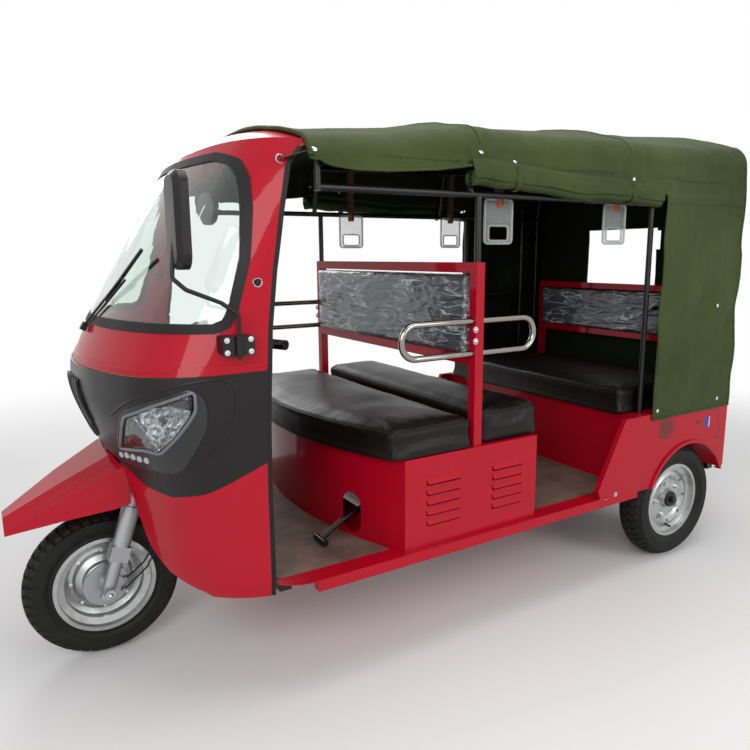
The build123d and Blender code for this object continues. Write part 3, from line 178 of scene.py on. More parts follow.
# Chassis: rails, axle, springs, stem and exhaust, mild steel under black brushed enamel.
# Road dust greys it in patches, and the enamel has the faint ripple of a coat put on by hand.
def black_enamel():
    made, tree, spot = material("black_brushed_enamel")
    ripple = node(tree, "ShaderNodeTexNoise", {"Vector": spot, "Scale": 90.0, "Detail": 4.0})
    dust = node(tree, "ShaderNodeTexNoise", {"Vector": spot, "Scale": 9.0, "Detail": 6.0})
    tint = node(tree, "ShaderNodeMix", {0: dust.outputs[0], 6: linear("#040405"), 7: linear("#121110")},
                data_type="RGBA")
    rough = node(tree, "ShaderNodeMapRange", {0: dust.outputs[0], 1: 0.3, 2: 0.7, 3: 0.22, 4: 0.42})
    relief = node(tree, "ShaderNodeBump", {"Height": ripple.outputs[0], "Distance": 0.0002, "Strength": 0.5})
    coat = node(tree, "ShaderNodeBsdfPrincipled", {"Base Color": tint.outputs[2],
                                                   "Roughness": rough.outputs[0], "Normal": relief.outputs[0],
                                                   "Specular IOR Level": 0.35})
    node(tree, "ShaderNodeOutputMaterial", {"Surface": coat.outputs[0]})
    return made


def dress(names, finish):
    """Give carried-over parts their finish."""
    for name in names:
        frame["nodes"][name].material_slots[0].material = finish


enamel = black_enamel()
dress(("chassis_frame", "steering_stem", "handlebar", "rear_axle", "leaf_springs", "exhaust",
       "foot_controls", "canopy_frame"), enamel)


# Fasteners: zinc-plated nuts, bolts and domed press studs, each on its washer.
# One tree turns a point with its facing into a head and a washer; it serves every fastener on the vehicle.
def shape(name, source, finish, body="body", stands_for=(), sharp=35.0):
    """An object from a bmesh, with its finish, riding on a body of the vehicle."""
    bmesh.ops.recalc_face_normals(source, faces=source.faces)
    data = bpy.data.meshes.new(name)
    source.to_mesh(data)
    source.free()
    data.materials.append(finish)
    data.shade_smooth()
    data.set_sharp_from_angle(angle=radians(sharp))
    made = bpy.data.objects.new(name, data)
    bpy.context.scene.collection.objects.link(made)
    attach(made, body)
    if stands_for:
        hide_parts(*stands_for)
    return made


def settle(made):
    """Turn what the modifiers make into the object's own plain mesh."""
    bpy.context.view_layer.update()
    plain = bpy.data.meshes.new_from_object(made.evaluated_get(bpy.context.evaluated_depsgraph_get()))
    made.modifiers.clear()
    made.data = plain


def geometry_tree(name, inputs):
    """A Geometry Nodes tree with its named inputs, and its first and last nodes."""
    tree = bpy.data.node_groups.new(name, "GeometryNodeTree")
    tree.interface.new_socket("Geometry", in_out="INPUT", socket_type="NodeSocketGeometry")
    for label, kind in inputs:
        tree.interface.new_socket(label, in_out="INPUT", socket_type="NodeSocket" + kind)
    tree.interface.new_socket("Geometry", in_out="OUTPUT", socket_type="NodeSocketGeometry")
    return tree, tree.nodes.new("NodeGroupInput"), tree.nodes.new("NodeGroupOutput")


def grow(made, tree, values):
    """Run a tree on an object with values for its named inputs, and keep the plain mesh."""
    modifier = made.modifiers.new(tree.name, "NODES")
    modifier.node_group = tree
    for item in tree.interface.items_tree:
        if item.item_type == "SOCKET" and item.in_out == "INPUT" and item.name in values:
            modifier[item.identifier] = values[item.name]
    settle(made)


pin_tree, pin_in, pin_out = geometry_tree("fasteners", (
    ("Sides", "Int"), ("Radius", "Float"), ("Height", "Float"), ("Washer", "Float"), ("Domed", "Bool"),
    ("Finish", "Material")))
pin_top = node(pin_tree, "ShaderNodeMath", {0: pin_in.outputs["Radius"], 1: 0.86}, operation="MULTIPLY")
pin_head = node(pin_tree, "GeometryNodeMeshCone",
                {"Vertices": pin_in.outputs["Sides"], "Radius Top": pin_top.outputs[0],
                 "Radius Bottom": pin_in.outputs["Radius"], "Depth": pin_in.outputs["Height"]})
pin_ball = node(pin_tree, "GeometryNodeMeshUVSphere", {"Segments": 14, "Rings": 8, "Radius": 1.0})
pin_squash = node(pin_tree, "ShaderNodeCombineXYZ",
                  {"X": pin_in.outputs["Radius"], "Y": pin_in.outputs["Radius"],
                   "Z": pin_in.outputs["Height"]})
pin_dome = node(pin_tree, "GeometryNodeTransform", {"Geometry": pin_ball.outputs[0],
                                                    "Scale": pin_squash.outputs[0]})
pin_kind = node(pin_tree, "GeometryNodeSwitch",
                {"Switch": pin_in.outputs["Domed"], "False": pin_head.outputs[0],
                 "True": pin_dome.outputs[0]},
                input_type="GEOMETRY")
pin_washer = node(pin_tree, "GeometryNodeMeshCone",
                  {"Vertices": 20, "Radius Top": pin_in.outputs["Washer"],
                   "Radius Bottom": pin_in.outputs["Washer"], "Depth": 0.0012})
pin_whole = node(pin_tree, "GeometryNodeJoinGeometry")
for part in (pin_kind, pin_washer):
    pin_tree.links.new(part.outputs[0], pin_whole.inputs[0])
pin_facing = node(pin_tree, "GeometryNodeInputNamedAttribute", {"Name": "facing"}, data_type="FLOAT_VECTOR")
pin_turn = node(pin_tree, "FunctionNodeAlignRotationToVector", {"Vector": pin_facing.outputs[0]}, axis="Z")
pin_set = node(pin_tree, "GeometryNodeInstanceOnPoints",
               {"Points": pin_in.outputs["Geometry"], "Instance": pin_whole.outputs[0],
                "Rotation": pin_turn.outputs[0]})
pin_real = node(pin_tree, "GeometryNodeRealizeInstances", {"Geometry": pin_set.outputs[0]})
pin_coat = node(pin_tree, "GeometryNodeSetMaterial",
                {"Geometry": pin_real.outputs[0], "Material": pin_in.outputs["Finish"]})
pin_tree.links.new(pin_coat.outputs[0], pin_out.inputs[0])


def fasten(name, places, finish, sides, radius, height, washer, domed=False, body="body"):
    """Fasteners at places, each a point and the way it faces."""
    source = bmesh.new()
    facing = source.verts.layers.float_vector.new("facing")
    for place, normal in places:
        vertex = source.verts.new(place)
        vertex[facing] = normal
    made = shape(name, source, finish, body)
    grow(made, pin_tree, {"Sides": sides, "Radius": radius, "Height": height, "Washer": washer,
                          "Domed": domed, "Finish": finish})
    made.data.shade_smooth()
    made.data.set_sharp_from_angle(angle=radians(35.0))
    return made


def zinc_plate():
    made, tree, spot = material("zinc_plated_steel")
    bloom = node(tree, "ShaderNodeTexNoise", {"Vector": spot, "Scale": 240.0, "Detail": 3.0})
    rough = node(tree, "ShaderNodeMapRange", {0: bloom.outputs[0], 1: 0.3, 2: 0.7, 3: 0.14, 4: 0.34})
    coat = node(tree, "ShaderNodeBsdfPrincipled", {"Base Color": linear("#C4C6C8"), "Metallic": 1.0,
                                                   "Roughness": rough.outputs[0]})
    node(tree, "ShaderNodeOutputMaterial", {"Surface": coat.outputs[0]})
    return made


zinc = zinc_plate()


# Tyres: moulded rubber, a rounded carcass with rows of tread blocks laid round it.
# The blocks stand 7 mm off the carcass; the shoulder blocks wrap down onto the wall.
def tyre_rubber():
    made, tree, spot = material("moulded_tyre_rubber")
    dust = node(tree, "ShaderNodeTexNoise", {"Vector": spot, "Scale": 14.0, "Detail": 8.0, "Roughness": 0.65})
    grain = node(tree, "ShaderNodeTexNoise", {"Vector": spot, "Scale": 900.0, "Detail": 2.0})
    share = node(tree, "ShaderNodeMapRange", {0: dust.outputs[0], 1: 0.38, 2: 0.72})
    tint = node(tree, "ShaderNodeMix", {0: share.outputs[0], 6: linear("#0C0D0C"), 7: linear("#1E1F1C")},
                data_type="RGBA")
    relief = node(tree, "ShaderNodeBump", {"Height": grain.outputs[0], "Distance": 0.0002, "Strength": 0.6})
    coat = node(tree, "ShaderNodeBsdfPrincipled", {"Base Color": tint.outputs[2], "Roughness": 0.62,
                                                   "Specular IOR Level": 0.25, "Normal": relief.outputs[0]})
    node(tree, "ShaderNodeOutputMaterial", {"Surface": coat.outputs[0]})
    return made


ring_tree, ring_in, ring_out = geometry_tree("ring_of_blocks", (("Count", "Int"), ("Finish", "Material")))
ring_points = node(ring_tree, "GeometryNodePoints", {"Count": ring_in.outputs["Count"]})
ring_index = node(ring_tree, "GeometryNodeInputIndex")
ring_share = node(ring_tree, "ShaderNodeMath", {0: ring_index.outputs[0], 1: ring_in.outputs["Count"]},
                  operation="DIVIDE")
ring_angle = node(ring_tree, "ShaderNodeMath", {0: ring_share.outputs[0], 1: 2 * pi}, operation="MULTIPLY")
ring_euler = node(ring_tree, "ShaderNodeCombineXYZ", {"Y": ring_angle.outputs[0]})
ring_turn = node(ring_tree, "FunctionNodeEulerToRotation", {"Euler": ring_euler.outputs[0]})
ring_set = node(ring_tree, "GeometryNodeInstanceOnPoints",
                {"Points": ring_points.outputs[0], "Instance": ring_in.outputs["Geometry"],
                 "Rotation": ring_turn.outputs[0]})
ring_real = node(ring_tree, "GeometryNodeRealizeInstances", {"Geometry": ring_set.outputs[0]})
ring_coat = node(ring_tree, "GeometryNodeSetMaterial",
                 {"Geometry": ring_real.outputs[0], "Material": ring_in.outputs["Finish"]})
ring_tree.links.new(ring_coat.outputs[0], ring_out.inputs[0])

rubber = tyre_rubber()
bead_r, rim_edge_r, rim_half = 0.1605, 0.1685, 0.041
tread_depth, tread_pitches = 0.007, 46
# columns: name, node, body, hub, outer radius, half width
tyres = (
    ("front_tyre_tread", "front_tyre", "front_wheel", front_hub, 0.257, 0.0525),
    ("rear_tyre_tread_left", "rear_tyre_left", "rear_wheel_left", rear_hub, 0.263, 0.059),
    ("rear_tyre_tread_right", "rear_tyre_right", "rear_wheel_right",
     Vector((rear_hub.x, -rear_hub.y, rear_hub.z)), 0.263, 0.059),
)
# columns: inner and outer edge as shares of the tread's half width, start and end as shares of a pitch, skew
tread_blocks = (
    (0.03, 0.36, 0.06, 0.80, 0.45),
    (0.42, 0.72, 0.30, 1.02, -0.35),
    (0.78, 1.30, 0.05, 0.68, 0.10),
)


def tyre_surface(share, outer_r, half_w):
    """Radius and offset on the tyre's outside; share 1 is the tread's edge, and past it the wall."""
    edge, drop = half_w - 0.014, 0.014
    crown_r = (edge ** 2 + drop ** 2) / (2 * drop)
    if share <= 1:
        y = edge * share
        return outer_r - crown_r + sqrt(crown_r ** 2 - y ** 2), y
    down = (share - 1) * 0.05
    return outer_r - drop - down, edge + 0.012 * sin(min(down / 0.03, 1.0) * pi / 2)


def turned(source, profile, middle, count):
    """Faces turned about an axle through middle; the profile's rows are radius and offset along the axle."""
    rows = []
    for k in range(count):
        a = 2 * pi * k / count
        rows.append([source.verts.new(middle + Vector((r * sin(a), y, r * cos(a)))) for r, y in profile])
    for k in range(count):
        here, ahead = rows[k], rows[(k + 1) % count]
        for i in range(len(profile) - 1):
            source.faces.new((here[i], here[i + 1], ahead[i + 1], ahead[i]))


for name, carried, body, hub, outer_r, half_w in tyres:
    blocks = bmesh.new()
    pitch = 2 * pi / tread_pitches
    for side in (1, -1):
        for y0, y1, a0, a1, skew in tread_blocks:
            steps = 5
            grid = []
            for level_drop in (0.0, tread_depth + 0.002):
                for k in range(steps + 1):
                    share = y0 + (y1 - y0) * k / steps
                    r, y = tyre_surface(share, outer_r, half_w)
                    taper = 0.0 if level_drop == 0.0 else 0.05
                    lean_on = skew * (share - y0)
                    for a in (a0 - taper + lean_on, a1 + taper + lean_on):
                        turn = (a + (0.5 if side < 0 else 0.0)) * pitch
                        reach = r - level_drop
                        inward = y - (level_drop if share > 1 else 0.0)
                        grid.append(blocks.verts.new((reach * sin(turn), side * inward, reach * cos(turn))))
            top, low = grid[:2 * (steps + 1)], grid[2 * (steps + 1):]
            for k in range(steps):
                i = 2 * k
                blocks.faces.new((top[i], top[i + 1], top[i + 3], top[i + 2]))
                blocks.faces.new((top[i], top[i + 2], low[i + 2], low[i]))
                blocks.faces.new((top[i + 1], low[i + 1], low[i + 3], top[i + 3]))
            blocks.faces.new((top[0], low[0], low[1], top[1]))
            last = 2 * steps
            blocks.faces.new((top[last], top[last + 1], low[last + 1], low[last]))
    made = shape(name, blocks, rubber, body, (carried,), sharp=30.0)
    grow(made, ring_tree, {"Count": tread_pitches, "Finish": rubber})
    carcass = bmesh.new()
    carcass.from_mesh(made.data)
    crown = [tyre_surface(k / 10, outer_r, half_w) for k in range(11)]
    bulge_r = bead_r + 0.5 * (outer_r - bead_r)
    half = [(r - tread_depth, y - 0.001 * (i == 10)) for i, (r, y) in enumerate(crown)]
    half += [(outer_r - 0.026, half_w - 0.006), (bulge_r + 0.022, half_w - 0.0012),
             (bulge_r + 0.0215, half_w), (bulge_r + 0.018, half_w), (bulge_r + 0.0175, half_w - 0.001),
             (bulge_r, half_w), (bulge_r - 0.014, half_w - 0.002), (bulge_r - 0.0145, half_w - 0.001),
             (bulge_r - 0.017, half_w - 0.0015), (bulge_r - 0.0175, half_w - 0.003),
             (rim_edge_r + 0.012, half_w - 0.010), (rim_edge_r + 0.002, rim_half + 0.003),
             (rim_edge_r, rim_half - 0.001), (bead_r, rim_half - 0.002)]
    section = [(r, -y) for r, y in reversed(half[1:])] + half
    turned(carcass, section, Vector((0, 0, 0)), 120)
    bmesh.ops.transform(carcass, matrix=Matrix.Translation(hub), verts=carcass.verts)
    carcass.to_mesh(made.data)
    carcass.free()
    made.data.shade_smooth()
    made.data.set_sharp_from_angle(angle=radians(32.0))


# Wheels: pressed steel discs welded in rolled rims, under silver wheel paint.
# The paint is a metallic lacquer, so it is bright but not mirror-like.
def wheel_silver():
    made, tree, spot = material("silver_wheel_lacquer")
    dirt = node(tree, "ShaderNodeTexNoise", {"Vector": spot, "Scale": 18.0, "Detail": 7.0, "Roughness": 0.6})
    share = node(tree, "ShaderNodeMapRange", {0: dirt.outputs[0], 1: 0.5, 2: 0.8})
    tint = node(tree, "ShaderNodeMix", {0: share.outputs[0], 6: linear("#B9BBBB"), 7: linear("#8A8984")},
                data_type="RGBA")
    rough = node(tree, "ShaderNodeMapRange", {0: dirt.outputs[0], 1: 0.3, 2: 0.8, 3: 0.24, 4: 0.42})
    coat = node(tree, "ShaderNodeBsdfPrincipled", {"Base Color": tint.outputs[2], "Metallic": 0.85,
                                                   "Roughness": rough.outputs[0]})
    node(tree, "ShaderNodeOutputMaterial", {"Surface": coat.outputs[0]})
    return made


def skin_of(*names):
    """The surface of carried-over parts, to lay other pieces on."""
    points, faces = [], []
    for name in names:
        data = frame["nodes"][name].data
        start = len(points)
        points += [v.co.copy() for v in data.vertices]
        faces += [[start + i for i in p.vertices] for p in data.polygons]
    return BVHTree.FromPolygons(points, faces)


def band(source, here, ahead):
    """Close the strip between two rings of points that match one another."""
    for k in range(len(here)):
        m = (k + 1) % len(here)
        source.faces.new((here[k], here[m], ahead[m], ahead[k]))


def tube(source, path, radius, sides=10, closed=False, flat=1.0):
    """A round bar along a path, its ends closed; flat is its height as a share of its width."""
    path = [Vector(p) for p in path]
    last = len(path) - 1
    ahead_of = [(path[(i + 1) % len(path)] if closed or i < last else path[i])
                - (path[i - 1] if closed or i > 0 else path[i]) for i in range(len(path))]
    side = ahead_of[0].cross(Vector((0.13, 0.21, 1.0))).normalized()
    loops = []
    for spot, ahead in zip(path, ahead_of):
        ahead = ahead.normalized()
        side = (side - ahead * side.dot(ahead)).normalized()
        rise = ahead.cross(side)
        loops.append([source.verts.new(spot + (side * cos(a) + rise * sin(a) * flat) * radius)
                      for a in [2 * pi * k / sides for k in range(sides)]])
    pairs = list(zip(loops, loops[1:])) + ([(loops[-1], loops[0])] if closed else [])
    for here, ahead in pairs:
        band(source, here, ahead)
    if not closed:
        source.faces.new(loops[0][::-1])
        source.faces.new(loops[-1])


silver = wheel_silver()
dress(("front_rim", "rear_rim_left", "rear_rim_right"), silver)
nut_ring_r, nut_count = 0.076, 5
# columns: radius, metres out from the disc
hub_cap_steps = ((0.036, 0.0), (0.036, 0.006), (0.032, 0.010), (0.016, 0.012), (0.015, 0.024), (0.011, 0.028),
                 (0.0005, 0.028))
for side, name, body in ((1, "rear_rim_left", "rear_wheel_left"), (-1, "rear_rim_right", "rear_wheel_right")):
    disc = skin_of(name)
    hub = Vector((rear_hub.x, side * rear_hub.y, rear_hub.z))
    outward = Vector((0, side, 0))
    places = []
    for k in range(nut_count):
        a = 2 * pi * (k + 0.25) / nut_count
        above = hub + Vector((nut_ring_r * sin(a), side * 0.3, nut_ring_r * cos(a)))
        places.append((disc.ray_cast(above, -outward)[0], outward))
    fasten(name + "_nuts", places, zinc, 6, 0.0105, 0.013, 0.013, body=body)
    cap = bmesh.new()
    face = disc.ray_cast(hub + Vector((0.030, side * 0.3, 0)), -outward)[0].y - hub.y
    turned(cap, [(r, face + side * out) for r, out in hub_cap_steps], hub, 40)
    shape(name + "_hub", cap, enamel, body, sharp=30.0)
    valve = bmesh.new()
    stem = disc.ray_cast(hub + Vector((0, side * 0.3, -0.128)), -outward)[0]
    tube(valve, [stem - outward * 0.002, stem + outward * 0.018, stem + outward * 0.026], 0.0042, 10)
    shape(name + "_valve", valve, rubber, body)


# Fork and brake plate: cast aluminium sliders and drum plate, dull and slightly gritty from the mould.
# The axle goes through both sliders and is held by a nut and a domed cap on each side.
def cast_aluminium():
    made, tree, spot = material("cast_aluminium")
    grit = node(tree, "ShaderNodeTexNoise", {"Vector": spot, "Scale": 600.0, "Detail": 3.0})
    relief = node(tree, "ShaderNodeBump", {"Height": grit.outputs[0], "Distance": 0.0003, "Strength": 0.6})
    coat = node(tree, "ShaderNodeBsdfPrincipled", {"Base Color": linear("#A8AAAC"), "Metallic": 0.9,
                                                   "Roughness": 0.38, "Normal": relief.outputs[0]})
    node(tree, "ShaderNodeOutputMaterial", {"Surface": coat.outputs[0]})
    return made


aluminium = cast_aluminium()
dress(("fork_legs", "front_brake_plate", "engine_block"), aluminium)
dress(("front_cables",), enamel)
fork_skin = skin_of("fork_legs")
axle_ends = []
for side in (1, -1):
    outward = Vector((0, side, 0))
    axle_ends.append((fork_skin.ray_cast(front_hub + outward * 0.3, -outward)[0], outward))
fasten("front_axle_nuts", axle_ends, zinc, 6, 0.0125, 0.010, 0.016, body="steering")
fasten("front_axle_caps", [(spot + outward * 0.009, outward) for spot, outward in axle_ends], zinc, 12, 0.009,
       0.008, 0.0095, domed=True, body="steering")


# Body sheet metal: pressed and folded steel, two coats of red gloss enamel sprayed on.
# Sprayed enamel dries with a faint orange peel of about 4 mm, and the sheet itself is never quite flat.
def red_enamel():
    made, tree, spot = material("red_gloss_enamel")
    shade = node(tree, "ShaderNodeTexNoise", {"Vector": spot, "Scale": 2.2, "Detail": 3.0})
    tint = node(tree, "ShaderNodeMix", {0: shade.outputs[0], 6: linear("#A8041C"), 7: linear("#B60824")},
                data_type="RGBA")
    sheet_wave = node(tree, "ShaderNodeTexNoise", {"Vector": spot, "Scale": 7.0, "Detail": 1.0})
    peel = node(tree, "ShaderNodeTexNoise", {"Vector": spot, "Scale": 250.0, "Detail": 1.0})
    wave = node(tree, "ShaderNodeBump", {"Height": sheet_wave.outputs[0], "Distance": 0.001, "Strength": 1.0})
    relief = node(tree, "ShaderNodeBump", {"Height": peel.outputs[0], "Distance": 0.000012, "Strength": 1.0,
                                           "Normal": wave.outputs[0]})
    coat = node(tree, "ShaderNodeBsdfPrincipled",
                {"Base Color": tint.outputs[2], "Roughness": 0.36, "Specular IOR Level": 0.06,
                 "Coat Weight": 0.38, "Coat Roughness": 0.05, "Coat Normal": relief.outputs[0],
                 "Normal": relief.outputs[0]})
    node(tree, "ShaderNodeOutputMaterial", {"Surface": coat.outputs[0]})
    return made


red = red_enamel()
dress(("floor_pan", "seat_box", "mid_backrest_frame", "rear_seat_box", "rear_side_panels", "tail_panel",
       "rear_backrest_frame", "cab_lower", "cab_upper", "beak_fender"), red)


# Mats: brown rubber-backed sheet cut to each footwell and laid loose.
# They are trodden pale and dusty in patches, and their face has a fine stipple.
def trodden_mat():
    made, tree, spot = material("trodden_rubber_mat")
    wear = node(tree, "ShaderNodeTexNoise", {"Vector": spot, "Scale": 5.0, "Detail": 8.0, "Roughness": 0.7})
    grain = node(tree, "ShaderNodeTexVoronoi", {"Vector": spot, "Scale": 260.0})
    share = node(tree, "ShaderNodeMapRange", {0: wear.outputs[0], 1: 0.35, 2: 0.7})
    tint = node(tree, "ShaderNodeMix", {0: share.outputs[0], 6: linear("#4A372C"), 7: linear("#7B6658")},
                data_type="RGBA")
    relief = node(tree, "ShaderNodeBump", {"Height": grain.outputs[0], "Distance": 0.0008, "Strength": 0.7})
    coat = node(tree, "ShaderNodeBsdfPrincipled", {"Base Color": tint.outputs[2], "Roughness": 0.7,
                                                   "Normal": relief.outputs[0]})
    node(tree, "ShaderNodeOutputMaterial", {"Surface": coat.outputs[0]})
    return made


mat_brown = trodden_mat()
dress(("floor_mats",), mat_brown)


# Cushions: foam blocks in sewn black leathercloth, crowned on top, with a welted seam round the upper edge.
# Leathercloth is PVC embossed with a pebble grain; the real one of 1 mm is drawn at 3 mm so that it shows.
def leathercloth(name, dark, light, rough_low):
    made, tree, spot = material(name)
    pebble = node(tree, "ShaderNodeTexVoronoi", {"Vector": spot, "Scale": 330.0})
    crease = node(tree, "ShaderNodeTexNoise", {"Vector": spot, "Scale": 16.0, "Detail": 6.0,
                                               "Distortion": 0.6})
    handled = node(tree, "ShaderNodeTexNoise", {"Vector": spot, "Scale": 4.0, "Detail": 4.0})
    tint = node(tree, "ShaderNodeMix", {0: handled.outputs[0], 6: linear(dark), 7: linear(light)},
                data_type="RGBA")
    rough = node(tree, "ShaderNodeMapRange", {0: handled.outputs[0], 1: 0.3, 2: 0.7, 3: rough_low,
                                              4: rough_low + 0.14})
    soft = node(tree, "ShaderNodeBump", {"Height": crease.outputs[0], "Distance": 0.004, "Strength": 0.35})
    relief = node(tree, "ShaderNodeBump", {"Height": pebble.outputs[0], "Distance": 0.0006, "Strength": 0.35,
                                           "Normal": soft.outputs[0]})
    coat = node(tree, "ShaderNodeBsdfPrincipled",
                {"Base Color": tint.outputs[2], "Specular IOR Level": 0.22, "Roughness": rough.outputs[0],
                 "Normal": relief.outputs[0]})
    node(tree, "ShaderNodeOutputMaterial", {"Surface": coat.outputs[0]})
    return made


black_cover = leathercloth("black_leathercloth", "#0B0807", "#171210", 0.33)


def rounded(corners, radius, step):
    """Closed outline through corners, each rounded, with points about one step apart."""
    points = []
    count = len(corners)
    for i in range(count):
        before, corner, after = (Vector(corners[(i + k) % count]) for k in (-1, 0, 1))
        inward, outward = (before - corner), (after - corner)
        reach = min(radius, inward.length * 0.45, outward.length * 0.45)
        a, b = corner + inward.normalized() * reach, corner + outward.normalized() * reach
        arcs = max(2, int(reach * 1.6 / step))
        for k in range(arcs + 1):
            t = k / arcs
            points.append(a * (1 - t) ** 2 + corner * 2 * t * (1 - t) + b * t ** 2)
        following = Vector(corners[(i + 2) % count])
        next_reach = min(radius, (corner - after).length * 0.45, (following - after).length * 0.45)
        end = after + (corner - after).normalized() * next_reach
        gaps = int((end - b).length / step)
        points += [b.lerp(end, k / gaps) for k in range(1, gaps)] if gaps > 1 else []
    return points


def even_skin(made, spacing):
    """Remake the skin with points evenly about one spacing apart."""
    remesh = made.modifiers.new("even_skin", "REMESH")
    remesh.mode = "VOXEL"
    remesh.voxel_size = spacing
    settle(made)


def inflate(made, cap, held_below):
    """Let the cover swell like foam under cloth, moving no point further than cap."""
    start = [v.co.copy() for v in made.data.vertices]
    group = made.vertex_groups.new(name="held")
    group.add([i for i, co in enumerate(start) if co.z < held_below], 1.0, "REPLACE")
    cloth = made.modifiers.new("swell", "CLOTH")
    cloth.settings.use_pressure = True
    cloth.settings.uniform_pressure_force = 4.0
    cloth.settings.effector_weights.gravity = 0.0
    cloth.settings.vertex_group_mass = "held"
    cloth.settings.quality = 4
    for step in range(1, 21):
        bpy.context.scene.frame_set(step)
    settle(made)
    for vertex, rest in zip(made.data.vertices, start):
        moved = vertex.co - rest
        if moved.length > cap:
            vertex.co = rest + moved * (cap / moved.length)
    bpy.context.scene.frame_set(1)
    made.data.update()


def cushion(name, carried, outline, low, high, edge, crown, welt, finish):
    """A crowned foam cushion in a sewn cover, its welt running round the upper edge."""
    middle = sum(outline, Vector((0, 0))) / len(outline)
    width = min(max(p[i] for p in outline) - min(p[i] for p in outline) for i in (0, 1))
    # columns: inset, height above the base, in metres; the side pulls in between its two edges
    wall = [(0.006, 0.0), (0.001, 0.004), (0.0, 0.012), (0.003, 0.35 * (high - low)),
            (0.004, 0.6 * (high - low)), (0.001, high - low - edge - 0.008), (0.0, high - low - edge)]
    rim = [(edge * (1 - cos(a)), high - low - edge + edge * sin(a)) for a in (0.35, 0.75, 1.15, pi / 2)]
    depth = width / 2
    inner = [(edge + (depth - edge) * t, high - low + crown * (1 - (1 - t) ** 2))
             for t in [k / 14 for k in range(1, 14)]]
    source = bmesh.new()
    rings = []
    for inset, rise in wall + rim + inner:
        ring = []
        for index, point in enumerate(outline):
            out = point - middle
            along = (outline[(index + 1) % len(outline)] - outline[index - 1]).normalized()
            normal = Vector((along.y, -along.x))
            normal = normal if normal.dot(out) > 0 else -normal
            # The inner rings shrink on the cushion's short side and keep its long side's length
            share = inset / depth
            shrunk = Vector((out.x, out.y))
            reach = [max(abs(p[i] - middle[i]) for p in outline) for i in (0, 1)]
            for axis in (0, 1):
                shrunk[axis] = out[axis] * (1 - inset / reach[axis]) if inset > edge else out[axis]
            place = middle + (shrunk if inset > edge else out - normal * inset)
            ripple = 0.0
            if rise >= high - low - edge:
                ripple = 0.0030 * noise.noise(Vector((place.x * 9, place.y * 9, low)))
                ripple += 0.0012 * noise.noise(Vector((place.x * 38, place.y * 38, high))) * (1 - share)
            ring.append(source.verts.new((place.x, place.y, low + rise + ripple)))
        rings.append(ring)
    for here, ahead in zip(rings, rings[1:]):
        band(source, here, ahead)
    source.faces.new(rings[0])
    bmesh.ops.triangle_fill(source, use_beauty=True, edges=[
        e for e in source.edges if e.is_boundary])
    made = shape(name, source, finish, "body", (carried,), sharp=60.0)
    even_skin(made, 0.009)
    inflate(made, 0.006, low + 0.012)
    made.data.shade_smooth()
    skin = BVHTree.FromObject(made, bpy.context.evaluated_depsgraph_get())
    seam = bmesh.new()
    seam.from_mesh(made.data)
    path = []
    for point in outline:
        z = high - edge * 0.42
        spot, normal, _, _ = skin.find_nearest(Vector((point.x, point.y, z)))
        path.append(spot + normal * welt * 0.3)
    sides = 6
    loops = []
    for index, spot in enumerate(path):
        along = (path[(index + 1) % len(path)] - path[index - 1]).normalized()
        flat = along.cross(Vector((0, 0, 1))).normalized()
        rise = flat.cross(along)
        loops.append([seam.verts.new(spot + (flat * cos(a) + rise * sin(a)) * welt)
                      for a in [2 * pi * k / sides for k in range(sides)]])
    for here, ahead in zip(loops, loops[1:] + loops[:1]):
        band(seam, ahead, here)
    seam.to_mesh(made.data)
    seam.free()
    made.data.shade_smooth()
    return made


def bowed_outline(rear, side_front, nose, half_w, radius, step):
    """Plan of the driver's cushion: a rectangle whose front edge bows forward."""
    corners = [at(rear, -half_w, 0).xy, at(rear, half_w, 0).xy]
    bow = []
    for k in range(17):
        y = half_w * (1 - k / 8)
        bow.append(at(nose - (nose - side_front) * (y / half_w) ** 2, y, 0).xy)
    return rounded(corners + bow, radius, step)


seat_top = 0.704
driver_plan = bowed_outline(1.183, 1.512, 1.650, 0.616, 0.030, 0.016)
cushion("driver_cushion_cover", "driver_cushion", driver_plan, seat_top + 0.0005, 0.812, 0.024, 0.010,
        0.0028, black_cover)
middle_plan = rounded([at(x, y, 0).xy for x, y in ((0.855, -0.598), (0.855, 0.598), (1.133, 0.598),
                                                    (1.133, -0.598))], 0.028, 0.016)
cushion("middle_cushion_cover", "middle_cushion", middle_plan, seat_top + 0.0005, 0.824, 0.026, 0.010,
        0.0028, black_cover)
rear_plan = rounded([at(x, y, 0).xy for x, y in ((-0.146, -0.568), (-0.146, 0.568), (0.370, 0.568),
                                                  (0.370, -0.568))], 0.030, 0.016)
cushion("rear_cushion_cover", "rear_cushion", rear_plan, 0.7005, 0.811, 0.022, 0.008,
        0.0028, black_cover)
